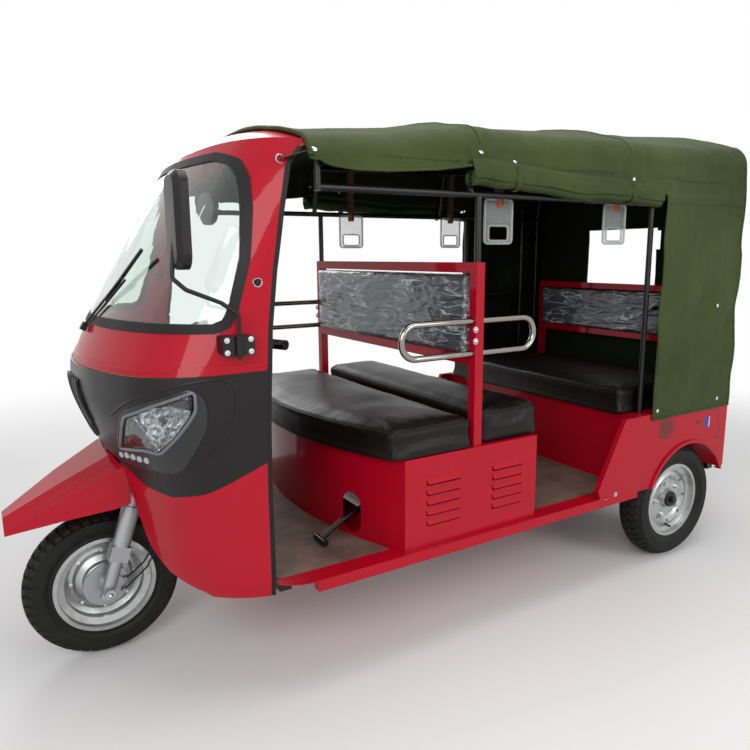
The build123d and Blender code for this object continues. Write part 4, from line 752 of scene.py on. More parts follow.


# Backrest pads: grey leathercloth on board, still in the clear film it was packed in.
# The film is loose, so it lies in sharp creases; its gloss is a coat over the cloth, and the pale lines along
# the crests, in loose patches, are painted highlights.
def filmed_cover():
    made, tree, spot = material("grey_cover_under_film")
    turned_to = node(tree, "ShaderNodeMapping", {"Vector": spot, "Rotation": (0.65, 0.0, 0.0),
                                                 "Scale": (1.0, 0.16, 1.0)})
    folds = node(tree, "ShaderNodeTexNoise", {"Vector": turned_to.outputs[0], "Scale": 34.0, "Detail": 2.2,
                                              "Roughness": 0.5, "Distortion": 0.45})
    ridge = node(tree, "ShaderNodeMath", {0: folds.outputs[0], 1: 0.5}, operation="SUBTRACT")
    ridge = node(tree, "ShaderNodeMath", {0: ridge.outputs[0]}, operation="ABSOLUTE")
    cloth = node(tree, "ShaderNodeMix", {0: folds.outputs[0], 6: linear("#33373B"), 7: linear("#575D62")},
                 data_type="RGBA")
    loose = node(tree, "ShaderNodeTexNoise", {"Vector": spot, "Scale": 6.0, "Detail": 2.0})
    where = node(tree, "ShaderNodeMapRange", {0: loose.outputs[0], 1: 0.40, 2: 0.55})
    # Pale lines along the crease crests, in loose patches: painted highlights of the film.
    crest = node(tree, "ShaderNodeMapRange", {0: ridge.outputs[0], 1: 0.0, 2: 0.030, 3: 1.0, 4: 0.0})
    painted_crease_highlight = node(tree, "ShaderNodeMath", {0: crest.outputs[0], 1: where.outputs[0]}, operation="MULTIPLY")
    tint = node(tree, "ShaderNodeMix", {0: painted_crease_highlight.outputs[0], 6: cloth.outputs[2], 7: linear("#D8DEE2")},
                data_type="RGBA")
    relief = node(tree, "ShaderNodeBump", {"Height": ridge.outputs[0], "Distance": 0.011, "Strength": 1.0},
                  invert=True)
    coat = node(tree, "ShaderNodeBsdfPrincipled",
                {"Base Color": tint.outputs[2], "Roughness": 0.5, "Coat Weight": 1.0, "Coat Roughness": 0.07,
                 "Coat Normal": relief.outputs[0], "Normal": relief.outputs[0]})
    node(tree, "ShaderNodeOutputMaterial", {"Surface": coat.outputs[0]})
    return made


film = filmed_cover()


def wrapped_pad(name, carried, low, high, round_edge):
    """A flat pad under film: a rounded slab whose faces swell and crease."""
    size = high - low
    middle = (high + low) / 2
    source = bmesh.new()
    bmesh.ops.create_cube(source, size=1.0)
    for vertex in source.verts:
        vertex.co = Vector([c * s for c, s in zip(vertex.co, size)]) + middle
    bmesh.ops.bevel(source, geom=source.edges[:], offset=round_edge, segments=4, profile=0.6, affect="EDGES")
    made = shape(name, source, film, "body", (carried,), sharp=60.0)
    even_skin(made, 0.0065)
    inflate(made, 0.005, low.z + 0.004)
    for vertex in made.data.vertices:
        co = vertex.co
        face = min(1.0, abs(co.x - middle.x) / (size.x / 2))
        fold = noise.fractal(Vector((co.x * 9, co.y * 11 + co.z * 9, co.z * 26 - co.y * 6)), 0.8, 2.2, 4)
        swell = noise.noise(Vector((co.x, co.y * 5, co.z * 8)))
        vertex.co += vertex.normal * face * (0.0030 * fold + 0.0030 * swell - 0.0030)
    made.data.update()
    made.data.shade_smooth()
    return made


for name, carried in (("middle_backrest_cover", "mid_backrest_pad"),
                      ("rear_backrest_cover", "rear_backrest_pad")):
    low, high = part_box(carried)
    wrapped_pad(name, carried, low, high, 0.018)


# Armrests: loops of steel tube, bent, chrome plated and bolted through the backrest's posts.
# The plate is bright but handled, so its reflections are smeared in places; domed nuts hold the loops' ends.
def bright_chrome():
    made, tree, spot = material("bright_chrome_plate")
    smear = node(tree, "ShaderNodeTexNoise", {"Vector": spot, "Scale": 30.0, "Detail": 4.0})
    rough = node(tree, "ShaderNodeMapRange", {0: smear.outputs[0], 1: 0.35, 2: 0.75, 3: 0.05, 4: 0.16})
    coat = node(tree, "ShaderNodeBsdfPrincipled", {"Base Color": linear("#96918A"), "Metallic": 1.0,
                                                   "Roughness": rough.outputs[0]})
    node(tree, "ShaderNodeOutputMaterial", {"Surface": coat.outputs[0]})
    return made


def pinned(skin, station, y, z, proud=0.0):
    """The nearest place on a skin, and the way the skin faces there."""
    spot, normal, _, _ = skin.find_nearest(at(station, y, z))
    return spot + normal * proud, normal


chrome = bright_chrome()
dress(("armrests",), chrome)
armrest_skin = skin_of("mid_backrest_frame")
# columns: station and height of a nut on the frame's post, where a loop's end comes through
loop_nuts = ((1.196, 1.116), (1.195, 1.076))
fasten("armrest_nuts", [pinned(armrest_skin, x, side * 0.620, z) for x, z in loop_nuts for side in (1, -1)],
       zinc, 12, 0.0085, 0.009, 0.011, domed=True)


# Nose panel and grille: black ABS moulded in one shade, polished by the mould but hazed by handling.
# The seals round the glass and the doorway are extruded rubber of the same shade, duller and softer.
def moulded(name, tone, rough_low, gloss=0.5):
    made, tree, spot = material(name)
    haze = node(tree, "ShaderNodeTexNoise", {"Vector": spot, "Scale": 7.0, "Detail": 5.0})
    grain = node(tree, "ShaderNodeTexNoise", {"Vector": spot, "Scale": 500.0})
    rough = node(tree, "ShaderNodeMapRange", {0: haze.outputs[0], 1: 0.3, 2: 0.7, 3: rough_low,
                                              4: rough_low + 0.12})
    relief = node(tree, "ShaderNodeBump", {"Height": grain.outputs[0], "Distance": 0.0001, "Strength": 0.3})
    coat = node(tree, "ShaderNodeBsdfPrincipled",
                {"Base Color": linear(tone), "Specular IOR Level": gloss, "Roughness": rough.outputs[0],
                 "Normal": relief.outputs[0]})
    node(tree, "ShaderNodeOutputMaterial", {"Surface": coat.outputs[0]})
    return made


abs_black = moulded("black_abs", "#161213", 0.30, 0.3)
rubber_seal = moulded("extruded_seal_rubber", "#151515", 0.5, 0.25)
dress(("nose_panel", "nose_grille", "inner_leg_shield", "wiper", "mirrors"), abs_black)
dress(("windscreen_seal", "door_trims"), rubber_seal)


# Glass: clear float glass with a faint green edge, bent to the cab in an oven.
# The bending leaves a slight wave, which shows only in what it mirrors. Lamp lenses are moulded plastic.
def clear_glass(name, tone, rough):
    made, tree, spot = material(name)
    smear = node(tree, "ShaderNodeTexNoise", {"Vector": spot, "Scale": 3.0, "Detail": 3.0})
    relief = node(tree, "ShaderNodeBump", {"Height": smear.outputs[0], "Distance": 0.0003, "Strength": 0.3})
    coat = node(tree, "ShaderNodeBsdfPrincipled",
                {"Base Color": linear(tone), "Roughness": rough, "Transmission Weight": 1.0, "IOR": 1.5,
                 "Normal": relief.outputs[0]})
    node(tree, "ShaderNodeOutputMaterial", {"Surface": coat.outputs[0]})
    return made


screen_glass = clear_glass("bent_screen_glass", "#E8F2EE", 0.0)
lens_clear = clear_glass("clear_polycarbonate", "#F4F6F6", 0.03)
lens_bright = moulded("frosted_small_light", "#A9AFB4", 0.08)
dress(("windscreen",), screen_glass)
dress(("tail_lamps",), moulded("red_tail_lens", "#8E0712", 0.12))


# Headlamps: a clear lens over a faceted chrome reflector, in a smoked surround let into the nose.
# Five small lights sit in the surround under the lens. Places are on the left lamp; the right one mirrors it.
lens_outline = ((2.282, 0.373, 0.913), (2.233, 0.473, 0.954), (2.130, 0.552, 0.999), (2.129, 0.550, 0.944),
                (2.154, 0.530, 0.900), (2.175, 0.507, 0.865), (2.206, 0.451, 0.812), (2.237, 0.400, 0.815),
                (2.279, 0.262, 0.794), (2.283, 0.331, 0.867))
surround_outline = ((2.290, 0.360, 0.927), (2.256, 0.444, 0.961), (2.130, 0.552, 1.014),
                    (2.094, 0.567, 0.964), (2.098, 0.563, 0.892), (2.120, 0.549, 0.840),
                    (2.160, 0.494, 0.750), (2.236, 0.342, 0.738), (2.270, 0.232, 0.740),
                    (2.283, 0.236, 0.798))
small_lights = ((2.275, 0.244, 0.769), (2.266, 0.284, 0.775), (2.255, 0.320, 0.777), (2.243, 0.352, 0.777),
                (2.230, 0.385, 0.779))
nose_axis = at(1.950, 0, 0)
nose_skin = skin_of("nose_panel", "headlamps", "nose_grille")
smoked = moulded("smoked_lamp_surround", "#262728", 0.22, 0.4)


def on_nose(place, proud=0.0):
    """The place moved along its own level radius onto the nose, standing proud of it."""
    out = Vector((place.x - nose_axis.x, place.y, 0)).normalized()
    hit = nose_skin.ray_cast(place + out * 0.3, -out)[0]
    if hit is None or (hit - place).length > 0.04:
        hit = nose_skin.find_nearest(place)[0]
    return hit + out * proud


def spaced(outline, count):
    """Points evenly spaced round a closed outline, from its first corner on."""
    marks = [0.0]
    for a, b in zip(outline, outline[1:] + outline[:1]):
        marks.append(marks[-1] + (b - a).length)
    found = []
    for k in range(count):
        want = marks[-1] * k / count
        i = max(j for j in range(len(outline)) if marks[j] <= want)
        share = (want - marks[i]) / (marks[i + 1] - marks[i])
        found.append(outline[i].lerp(outline[(i + 1) % len(outline)], share))
    return found


def reflector_chrome():
    made, tree, spot = material("vacuum_plated_reflector")
    cell = node(tree, "ShaderNodeTexVoronoi", {"Vector": spot, "Scale": 75.0})
    facet = cell.outputs["Distance"]
    # The plating runs pale at each facet's middle and grey at its edges: painted glints and painted shade on
    # the facets.
    tint = node(tree, "ShaderNodeMix", {0: facet, 6: linear("#F2F4F6"), 7: linear("#8E9397")},
                data_type="RGBA")
    relief = node(tree, "ShaderNodeBump", {"Height": facet, "Distance": 0.004, "Strength": 0.9})
    coat = node(tree, "ShaderNodeBsdfPrincipled", {"Base Color": tint.outputs[2], "Metallic": 0.7,
                                                   "Roughness": 0.09, "Normal": relief.outputs[0]})
    node(tree, "ShaderNodeOutputMaterial", {"Surface": coat.outputs[0]})
    return made


plated = reflector_chrome()
bezel_grey = moulded("grey_lamp_bezel", "#6A6C70", 0.18)
lamp_points = 96
# Plated ribs cross the reflector; each runs between two of the lens edge's points
lamp_ribs = ((4, 58), (26, 78), (26, 60))
# columns: share from the surround's edge to the lens, metres proud of the nose
surround_section = ((0.0, -0.0015), (0.05, 0.0030), (0.20, 0.0042), (0.55, 0.0022), (0.80, 0.0030),
                    (0.95, 0.0038), (1.0, 0.0010))
for side, label in ((1, "left"), (-1, "right")):
    lens_edge, outer_edge = [
        spaced(rounded([on_nose(at(x, side * y, z)) for x, y, z in outline], corner_r, 0.004), lamp_points)
        for outline, corner_r in ((lens_outline, 0.014), (surround_outline, 0.030))]
    middle = sum(lens_edge, Vector()) / lamp_points
    inward = -Vector((middle.x - nose_axis.x, middle.y, 0)).normalized()
    frame_bm = bmesh.new()
    rows = [[frame_bm.verts.new(on_nose(a.lerp(b, share), proud)) for a, b in zip(outer_edge, lens_edge)]
            for share, proud in surround_section]
    rows.append([frame_bm.verts.new(on_nose(b) + inward * 0.024) for b in lens_edge])
    inner = [middle.lerp(b, 0.91) for b in lens_edge]
    rows.append([frame_bm.verts.new(b + inward * 0.030) for b in inner])
    rows.append([frame_bm.verts.new(b + inward * 0.020) for b in inner])
    rows.append([frame_bm.verts.new(middle.lerp(b, 0.93) + inward * 0.020) for b in inner])
    for here, ahead in zip(rows, rows[1:]):
        band(frame_bm, here, ahead)
    shape("lamp_surround_" + label, frame_bm, smoked, "body",
          ("headlamps",) if side > 0 else (), sharp=30.0)
    bowl = bmesh.new()
    # columns: share of the lens outline, metres behind the lens
    bowl_rows = [(0.98, 0.022), (0.80, 0.040), (0.66, 0.034), (0.48, 0.050), (0.30, 0.040), (0.14, 0.052)]
    facets = 24
    rings = []
    for depth_at, (share, behind) in enumerate(bowl_rows):
        ring = []
        for k in range(facets):
            edge = lens_edge[(k * lamp_points // facets + 2 * depth_at) % lamp_points]
            ring.append(bowl.verts.new(middle.lerp(edge, share) + inward * (behind + 0.004 * (k % 2))))
        rings.append(ring)
    for here, ahead in zip(rings, rings[1:]):
        band(bowl, here, ahead)
    bowl.faces.new(rings[-1])
    for start, end in lamp_ribs:
        tube(bowl, [middle.lerp(lens_edge[k], 0.93) + inward * 0.014 for k in (start, end)], 0.0018, 6)
    shape("lamp_reflector_" + label, bowl, plated, "body", sharp=5.0)
    bulbs = [(middle.lerp(lens_edge[i], share) + inward * 0.030, -inward)
             for i, share in ((8, 0.40), (60, 0.30))]
    fasten("lamp_bulbs_" + label, bulbs, plated, 12, 0.017, 0.012, 0.026, domed=True)
    lens = bmesh.new()
    rings = [[lens.verts.new(on_nose(middle.lerp(b, share)) - inward * (0.0015 + 0.004 * (1 - share ** 2)))
              for b in lens_edge] for share in (0.995, 0.85, 0.65, 0.45, 0.25, 0.08)]
    for here, ahead in zip(rings, rings[1:]):
        band(lens, here, ahead)
    lens.faces.new(rings[-1])
    cover = shape("lamp_lens_" + label, lens, lens_clear, "body", sharp=60.0)
    wall = cover.modifiers.new("lens_wall", "SOLIDIFY")
    wall.thickness = 0.0025
    wall.offset = -1.0
    settle(cover)
    lights = []
    for x, y, z in small_lights:
        spot = on_nose(at(x, side * y, z), 0.003)
        lights.append((spot, Vector((spot.x - nose_axis.x, spot.y, 0)).normalized()))
    fasten("small_lights_" + label, lights, lens_bright, 14, 0.0085, 0.005, 0.0105, domed=True)
    bezel = bmesh.new()
    tube(bezel, [on_nose(middle.lerp(p, 1.035), 0.0035) for p in lens_edge], 0.0052, 8, closed=True)
    shape("lamp_bezel_" + label, bezel, bezel_grey, "body")


# Nose mouldings: a raised crease sweeps round each lamp, moulded in one with the black nose.
# Between the slots of the grille the bars bulge forward, in the smoked plastic of the lamps' surrounds.
def bent(points, bend, step=0.006):
    """A path through points, each corner rounded over the length bend."""
    points = [Vector(p) for p in points]
    path = [points[0]]
    for before, corner, after in zip(points, points[1:], points[2:]):
        reach = min(bend, (before - corner).length * 0.48, (after - corner).length * 0.48)
        a, b = corner + (before - corner).normalized() * reach, corner + (after - corner).normalized() * reach
        arcs = max(3, int(reach * 1.6 / step))
        path += [a * (1 - k / arcs) ** 2 + corner * (2 * k / arcs * (1 - k / arcs)) + b * (k / arcs) ** 2
                 for k in range(arcs + 1)]
    return path + [points[-1]]


# columns: station, distance left of the middle, height
crease_lines = (
    ((2.307, 0.300, 0.909), (2.291, 0.371, 0.947), (2.256, 0.449, 0.986), (2.189, 0.518, 1.012),
     (2.128, 0.552, 1.027), (2.081, 0.569, 1.032), (2.037, 0.577, 1.028), (2.018, 0.580, 1.006),
     (2.016, 0.580, 0.971), (2.022, 0.578, 0.913), (2.054, 0.570, 0.865), (2.088, 0.554, 0.822),
     (2.109, 0.537, 0.792)),
)
ridges = bmesh.new()
for line in crease_lines:
    for side in (1, -1):
        corners = [at(x, side * y, z) for x, y, z in line]
        path = bent(corners, 0.05, 0.01)
        tube(ridges, [on_nose(p, -0.0022) for p in path], 0.0052, 8)
shape("nose_creases", ridges, abs_black, "body")
grille_bars = bmesh.new()
bar_step, bar_pairs, bar_foot, bar_head = 0.032, 3, 0.790, 0.990
for k in range(2 * bar_pairs):
    y = bar_step * (k - bar_pairs + 0.5)
    foot = bar_foot + 0.055 * (abs(y) > 0.060)
    path = []
    for i in range(15):
        bulge = 0.0015 + 0.0045 * sin(pi * i / 14) ** 0.4
        path.append(on_nose(at(2.330, y, foot + (bar_head - foot) * i / 14), bulge))
    tube(grille_bars, path, 0.0082, 8)
shape("grille_bars", grille_bars, smoked, "body")


# Mirrors: black ABS heads on black steel tube, each with a flat silvered glass let into its back.
# Four bolts hold the clamp to the cab, through the plate that the arm's socket is welded to.
def silvered_glass():
    made, tree, spot = material("silvered_mirror_glass")
    smear = node(tree, "ShaderNodeTexNoise", {"Vector": spot, "Scale": 12.0, "Detail": 4.0})
    rough = node(tree, "ShaderNodeMapRange", {0: smear.outputs[0], 1: 0.4, 2: 0.8, 3: 0.01, 4: 0.08})
    coat = node(tree, "ShaderNodeBsdfPrincipled", {"Base Color": linear("#D9DEE0"), "Metallic": 1.0,
                                                   "Roughness": rough.outputs[0]})
    node(tree, "ShaderNodeOutputMaterial", {"Surface": coat.outputs[0]})
    return made


# columns: station of the glass, left, height, half width, half height, corner radius
mirror_glasses = ((2.1368, 0.588, 1.460, 0.050, 0.116, 0.036), (1.8818, 0.0, 1.532, 0.080, 0.046, 0.044))
silvering = silvered_glass()
glasses = bmesh.new()
for station, y, z, half_w, half_h, corner_r in mirror_glasses:
    plan = rounded([Vector((a * half_w, b * half_h)) for a, b in ((-1, -1), (-1, 1), (1, 1), (1, -1))],
                   corner_r, 0.004)
    back = [glasses.verts.new(at(station - 0.0006, y + p.x, z + p.y)) for p in plan]
    edge = [glasses.verts.new(at(station + 0.001, y + p.x * 1.03, z + p.y * 1.03)) for p in plan]
    glasses.faces.new(back)
    band(glasses, edge, back)
shape("mirror_glasses", glasses, silvering, "body", sharp=30.0)
mirror_skin = skin_of("mirrors")
clamp_y = Vector((0, 1, 0))
clamp_bolts = []
clamp_station, clamp_z = 2.015, 1.128
for dx in (-0.034, 0.034):
    for dz in (-0.017, 0.017):
        start = at(clamp_station + dx, 0.75, clamp_z + dz)
        clamp_bolts.append((mirror_skin.ray_cast(start, -clamp_y)[0], clamp_y))
fasten("mirror_clamp_bolts", clamp_bolts, zinc, 6, 0.0052, 0.005, 0.008)


# Pillar holes: one is drilled through each pillar of the cab, and a rubber grommet closes it.
# The bare edge of the drilled sheet shows as a bright ring round the rubber.
pillar_skin = skin_of("cab_upper")
grommets, grommet_rings = bmesh.new(), bmesh.new()
drilled_station, drilled_z, bare_edge_r = 1.943, 1.298, 0.0125
grommet_r, grommet_depth, grommet_proud = 0.0112, 0.006, 0.001
for side in (1, -1):
    round_it = [(drilled_station + bare_edge_r * cos(a), drilled_z + bare_edge_r * sin(a))
                for a in [2 * pi * k / 24 for k in range(24)]]
    edge = [pinned(pillar_skin, x, side * 0.600, z, 0.0006)[0] for x, z in round_it]
    middle = sum(edge, Vector()) / len(edge)
    tube(grommet_rings, edge, 0.0016, 6, closed=True)
    outward = Vector((0, side, 0))
    tube(grommets, [middle - outward * grommet_depth, middle, middle + outward * grommet_proud],
         grommet_r, 24)
shape("pillar_grommets", grommets, rubber_seal, "body", sharp=30.0)
shape("grommet_rings", grommet_rings, zinc, "body")


# Beak: the mudguard's root is held by four pan-headed bolts through the lower cab.
# Two ridges are pressed in each side of its top, to stiffen the sheet.
beak_skin = skin_of("beak_fender")
# columns: station, left, height
beak_bolts = ((2.292, 0.150, 0.640), (2.262, 0.158, 0.600))
fasten("beak_bolts", [pinned(beak_skin, x, side * y, z) for x, y, z in beak_bolts for side in (1, -1)],
       zinc, 12, 0.006, 0.003, 0.009, domed=True)
# columns: station, left, height of the points along one ridge
beak_ridges = (((2.524, 0.102, 0.581), (2.433, 0.135, 0.639), (2.341, 0.142, 0.695), (2.290, 0.160, 0.716)),
               ((2.533, 0.070, 0.592), (2.440, 0.098, 0.650), (2.356, 0.118, 0.693)))
pressed = bmesh.new()
for line in beak_ridges:
    for side in (1, -1):
        path = bent([at(x, side * y, z) for x, y, z in line], 0.04, 0.01)
        tube(pressed, [pinned(beak_skin, p.x - rear_hub.x, p.y, p.z, -0.0016)[0] for p in path], 0.0042, 8)
shape("beak_ridges", pressed, red, "body")


# Rear fender marks: plain bars, a wedge and a corner line cut from coloured vinyl.
# Each is laid 0.4 mm proud on the side panel and follows it.
def vinyl(name, tone):
    made, tree, spot = material(name)
    worn = node(tree, "ShaderNodeTexNoise", {"Vector": spot, "Scale": 60.0, "Detail": 3.0})
    rough = node(tree, "ShaderNodeMapRange", {0: worn.outputs[0], 1: 0.3, 2: 0.7, 3: 0.25, 4: 0.4})
    coat = node(tree, "ShaderNodeBsdfPrincipled", {"Base Color": linear(tone), "Roughness": rough.outputs[0]})
    node(tree, "ShaderNodeOutputMaterial", {"Surface": coat.outputs[0]})
    return made


panel_skin = skin_of("rear_side_panels")
panel_y = 0.70


def laid(source, corners, side):
    """A thin mark on the side panel from its corners, given as station and height."""
    outward = Vector((0, side, 0))
    top, foot = [], []
    for station, z in corners:
        hit = panel_skin.ray_cast(at(station, side * panel_y, z), -outward)[0]
        hit = hit if hit is not None else pinned(panel_skin, station, side * 0.642, z)[0]
        top.append(source.verts.new(hit + outward * 0.0004))
        foot.append(source.verts.new(hit - outward * 0.0002))
    source.faces.new(top)
    band(source, foot, top)


bar_top, bar_low, bar_front, bar_count = 0.670, 0.588, 0.183, 13
# columns: colour, corners of one mark
marks = (("black", ((-0.100, 0.632), (-0.100, 0.612), (-0.062, 0.623))),
         ("black", ((-0.150, 0.672), (-0.240, 0.660), (-0.258, 0.520), (-0.222, 0.528), (-0.225, 0.534),
                    (-0.252, 0.529), (-0.236, 0.655), (-0.152, 0.668))),
         ("blue", ((-0.140, 0.640), (-0.168, 0.636), (-0.166, 0.588), (-0.138, 0.592))),
         ("white", ((-0.172, 0.636), (-0.178, 0.635), (-0.176, 0.588), (-0.170, 0.588))))
vinyl_tones = {"black": "#141214", "blue": "#1C2C9E", "white": "#D8D8D8"}
cut = {name: bmesh.new() for name in vinyl_tones}
for side in (1, -1):
    for k in range(bar_count):
        z = bar_top + (bar_low - bar_top) * k / (bar_count - 1)
        front = bar_front - 0.004 * k / bar_count
        length = 0.040 + 0.055 * sin(pi * (k + 2) / (bar_count + 3)) + 0.018 * (k % 3 == 0)
        laid(cut["black"], ((front, z), (front - length, z - 0.004), (front - length, z - 0.0078),
                            (front, z - 0.0038)), side)
    for tone, corners in marks:
        laid(cut[tone], corners, side)
for name, source in cut.items():
    shape("fender_marks_" + name, source, vinyl(name + "_vinyl", vinyl_tones[name]), "body",
          sharp=20.0)
# columns: station, height of a bolt at the fender's front foot
fender_bolts = ((0.502, 0.385), (0.441, 0.389))
fasten("fender_bolts", [pinned(panel_skin, x, side * 0.660, z) for x, z in fender_bolts for side in (1, -1)],
       zinc, 6, 0.0065, 0.005, 0.010)


# Canopy: one cover of coated olive canvas, stretched over the bows and fastened down to the body's sides.
# The weave of 0.8 mm is drawn at 3 mm so that it shows; dust and sun have paled it in patches.
def canvas():
    made, tree, spot = material("coated_olive_canvas")
    thread = node(tree, "ShaderNodeUVMap", uv_map="weave")
    weave_scale = 0.314 / 0.003
    warp = node(tree, "ShaderNodeTexWave", {"Vector": thread.outputs[0], "Scale": weave_scale},
                bands_direction="X")
    weft = node(tree, "ShaderNodeTexWave", {"Vector": thread.outputs[0], "Scale": weave_scale},
                bands_direction="Y")
    weave = node(tree, "ShaderNodeMath", {0: warp.outputs["Fac"], 1: weft.outputs["Fac"]},
                 operation="MULTIPLY")
    faded = node(tree, "ShaderNodeTexNoise", {"Vector": spot, "Scale": 2.4, "Detail": 6.0, "Roughness": 0.6})
    mottle = node(tree, "ShaderNodeTexNoise", {"Vector": spot, "Scale": 22.0, "Detail": 5.0})
    blend_share = node(tree, "ShaderNodeMapRange", {0: faded.outputs[0], 1: 0.3, 2: 0.7})
    base = node(tree, "ShaderNodeMix", {0: blend_share.outputs[0], 6: linear("#303C1E"),
                                        7: linear("#424E2B")}, data_type="RGBA")
    spot_share = node(tree, "ShaderNodeMapRange", {0: mottle.outputs[0], 1: 0.4, 2: 0.8, 3: 0.0, 4: 0.35})
    tint = node(tree, "ShaderNodeMix", {0: spot_share.outputs[0], 6: base.outputs[2], 7: linear("#4C5533")},
                data_type="RGBA")
    relief = node(tree, "ShaderNodeBump", {"Height": weave.outputs[0], "Distance": 0.0006, "Strength": 0.6})
    coat = node(tree, "ShaderNodeBsdfPrincipled",
                {"Base Color": tint.outputs[2], "Roughness": 0.55, "Specular IOR Level": 0.10,
                 "Normal": relief.outputs[0]})
    node(tree, "ShaderNodeOutputMaterial", {"Surface": coat.outputs[0]})
    return made


def painted_shade_lining():
    """The inner face of the canvas in a dull, darker olive that is slightly uneven: painted shade for the dim
    underside of the cover.
    """
    made, tree, spot = material("canvas_lining_painted_shade")
    uneven = node(tree, "ShaderNodeTexNoise", {"Vector": spot, "Scale": 6.0, "Detail": 5.0})
    tint = node(tree, "ShaderNodeMix", {0: uneven.outputs[0], 6: linear("#12160C"), 7: linear("#1E2415")},
                data_type="RGBA")
    coat = node(tree, "ShaderNodeBsdfPrincipled", {"Base Color": tint.outputs[2], "Roughness": 0.7,
                                                   "Specular IOR Level": 0.1})
    node(tree, "ShaderNodeOutputMaterial", {"Surface": coat.outputs[0]})
    return made


canvas_olive = canvas()
lining_with_painted_shade = painted_shade_lining()
# columns: station, shoulder height, crown height
canopy_ribs = ((-0.3115, 1.822, 1.932), (0.450, 1.802, 1.900), (1.190, 1.786, 1.848), (1.790, 1.708, 1.790))
bows = (-0.270, 0.450, 1.190, 1.790)
canopy_half, shoulder_y, valance_z = 0.6375, 0.545, 1.575
quarter_front, quarter_low = 0.240, 0.672
# columns: station, height of the cloth's lower edge ahead of the quarter
hem_line = ((0.240, 1.604), (0.442, 1.622), (0.700, 1.622), (1.031, 1.642), (1.180, 1.652), (1.231, 1.645),
            (1.356, 1.628), (1.531, 1.614), (1.646, 1.612), (1.727, 1.620), (1.790, 1.646))


def between(table, x):
    """Values of a table's columns at x, running straight from row to row."""
    for here, ahead in zip(table, table[1:]):
        if x <= ahead[0]:
            t = max(0.0, (x - here[0]) / (ahead[0] - here[0]))
            return [a + t * (b - a) for a, b in zip(here[1:], ahead[1:])]
    return list(table[-1][1:])


def canopy_section(station):
    """Half section of the cover: points from crown over shoulder to sill, with their arc length."""
    shoulder, crown = between(canopy_ribs, station)
    rise = crown - shoulder
    roof_r = (shoulder_y ** 2 + rise ** 2) / (2 * rise)
    points = [(shoulder_y * k / 30, crown - roof_r + sqrt(roof_r ** 2 - (shoulder_y * k / 30) ** 2))
              for k in range(31)]
    edge_y, edge_z = canopy_half - 0.014, shoulder - 0.078
    for k in range(1, 9):
        t = k / 8
        y = (1 - t) ** 2 * shoulder_y + 2 * t * (1 - t) * (shoulder_y + 0.064) + t ** 2 * edge_y
        z = (1 - t) ** 2 * shoulder + 2 * t * (1 - t) * (shoulder - 0.012) + t ** 2 * edge_z
        points.append((y, z))
    points += [(canopy_half, valance_z), (canopy_half, quarter_low)]
    lengths = [0.0]
    for a, b in zip(points, points[1:]):
        lengths.append(lengths[-1] + hypot(b[0] - a[0], b[1] - a[1]))
    return points, lengths


def along_section(station, share_rows):
    """Points of the half section where the rows of the cloth's grid cross it."""
    points, lengths = canopy_section(station)
    found = []
    for target in share_rows(points, lengths):
        i = next((k for k in range(1, len(lengths)) if lengths[k] >= target - 1e-9), len(lengths) - 1)
        span = lengths[i] - lengths[i - 1]
        t = min(1.0, (target - lengths[i - 1]) / span) if span else 0.0
        found.append((points[i - 1][0] + t * (points[i][0] - points[i - 1][0]),
                      points[i - 1][1] + t * (points[i][1] - points[i - 1][1]), target))
    return found


roof_rows, valance_rows, drop_rows = 46, 16, 72


def cloth_rows(station):
    """Lengths along the half section: crown to valance edge, valance to hem, hem down to the sill."""
    hem = between(hem_line, station)[0]

    def rows(points, lengths):
        edge = lengths[-3]
        hem_at = lengths[-1] - (hem - quarter_low) if hem <= valance_z else edge + (
            (lengths[-2] - edge) * (points[-3][1] - hem) / (points[-3][1] - valance_z))
        found = [edge * k / roof_rows for k in range(roof_rows + 1)]
        found += [edge + (hem_at - edge) * k / valance_rows for k in range(1, valance_rows + 1)]
        found += [hem_at + (lengths[-1] - hem_at) * k / drop_rows for k in range(1, drop_rows + 1)]
        return found

    return rows


def cloth_sag(station, y, z):
    """How far the cloth lies off its taut line: slack inward between bows, folds at the side."""
    spans = [(a, b) for a, b in zip(bows, bows[1:]) if a <= station <= b] or [(bows[0], bows[1])]
    a, b = spans[0]
    t = (station - a) / (b - a)
    slack = -0.010 * sin(pi * min(max(t, 0.0), 1.0)) ** 0.8 if z > 1.6 else 0.0
    fine = noise.fractal(Vector((station * 5, y * 5, z * 5)), 0.9, 2.1, 4)
    folds = 0.0
    if z < 1.72:
        down = min(1.0, (1.72 - z) / 0.4)
        seed_y = 3.7 if y > 0 else -3.7
        folds = 0.008 * down * noise.noise(Vector((station * 13 + z * 1.5, seed_y, z * 1.7)))
        folds += 0.004 * down * noise.noise(Vector((station * 31, z * 4, 9.1)))
    for bow in bows[1:3]:
        near = abs(station - bow)
        if z < 1.80 and near < 0.20:
            pull = (1 - near / 0.20) * min(1.0, (1.80 - z) / 0.12)
            folds += 0.006 * pull * cos(near * 95)
    if station < quarter_front and z < valance_z:
        # Tension folds run down the quarter from its front seam to the tail's lower corner
        slant = (station - tail_station) * 0.62 + (z - quarter_low) * 0.5
        held = sin(pi * min(1.0, (z - quarter_low) / (valance_z - quarter_low)))
        uneven = 0.004 * noise.noise(Vector((slant * 22, z * 2, 5.0)))
        folds += held * (0.007 * cos(slant * 38 + 1.2) + uneven)
        folds *= min(1.0, (z - quarter_low) / 0.10)
        fine *= min(1.0, (z - quarter_low) / 0.05)
    return min(0.0045, slack + 0.004 * fine + folds - 0.001)


def cloth_normal(y, z):
    """Outward direction of the taut cloth, near enough for the folds."""
    if z < 1.66:
        return Vector((0, 1 if y > 0 else -1, 0))
    return Vector((0, y * 0.9 / canopy_half if abs(y) < shoulder_y else (1 if y > 0 else -1) * 1.2,
                   1.0)).normalized()


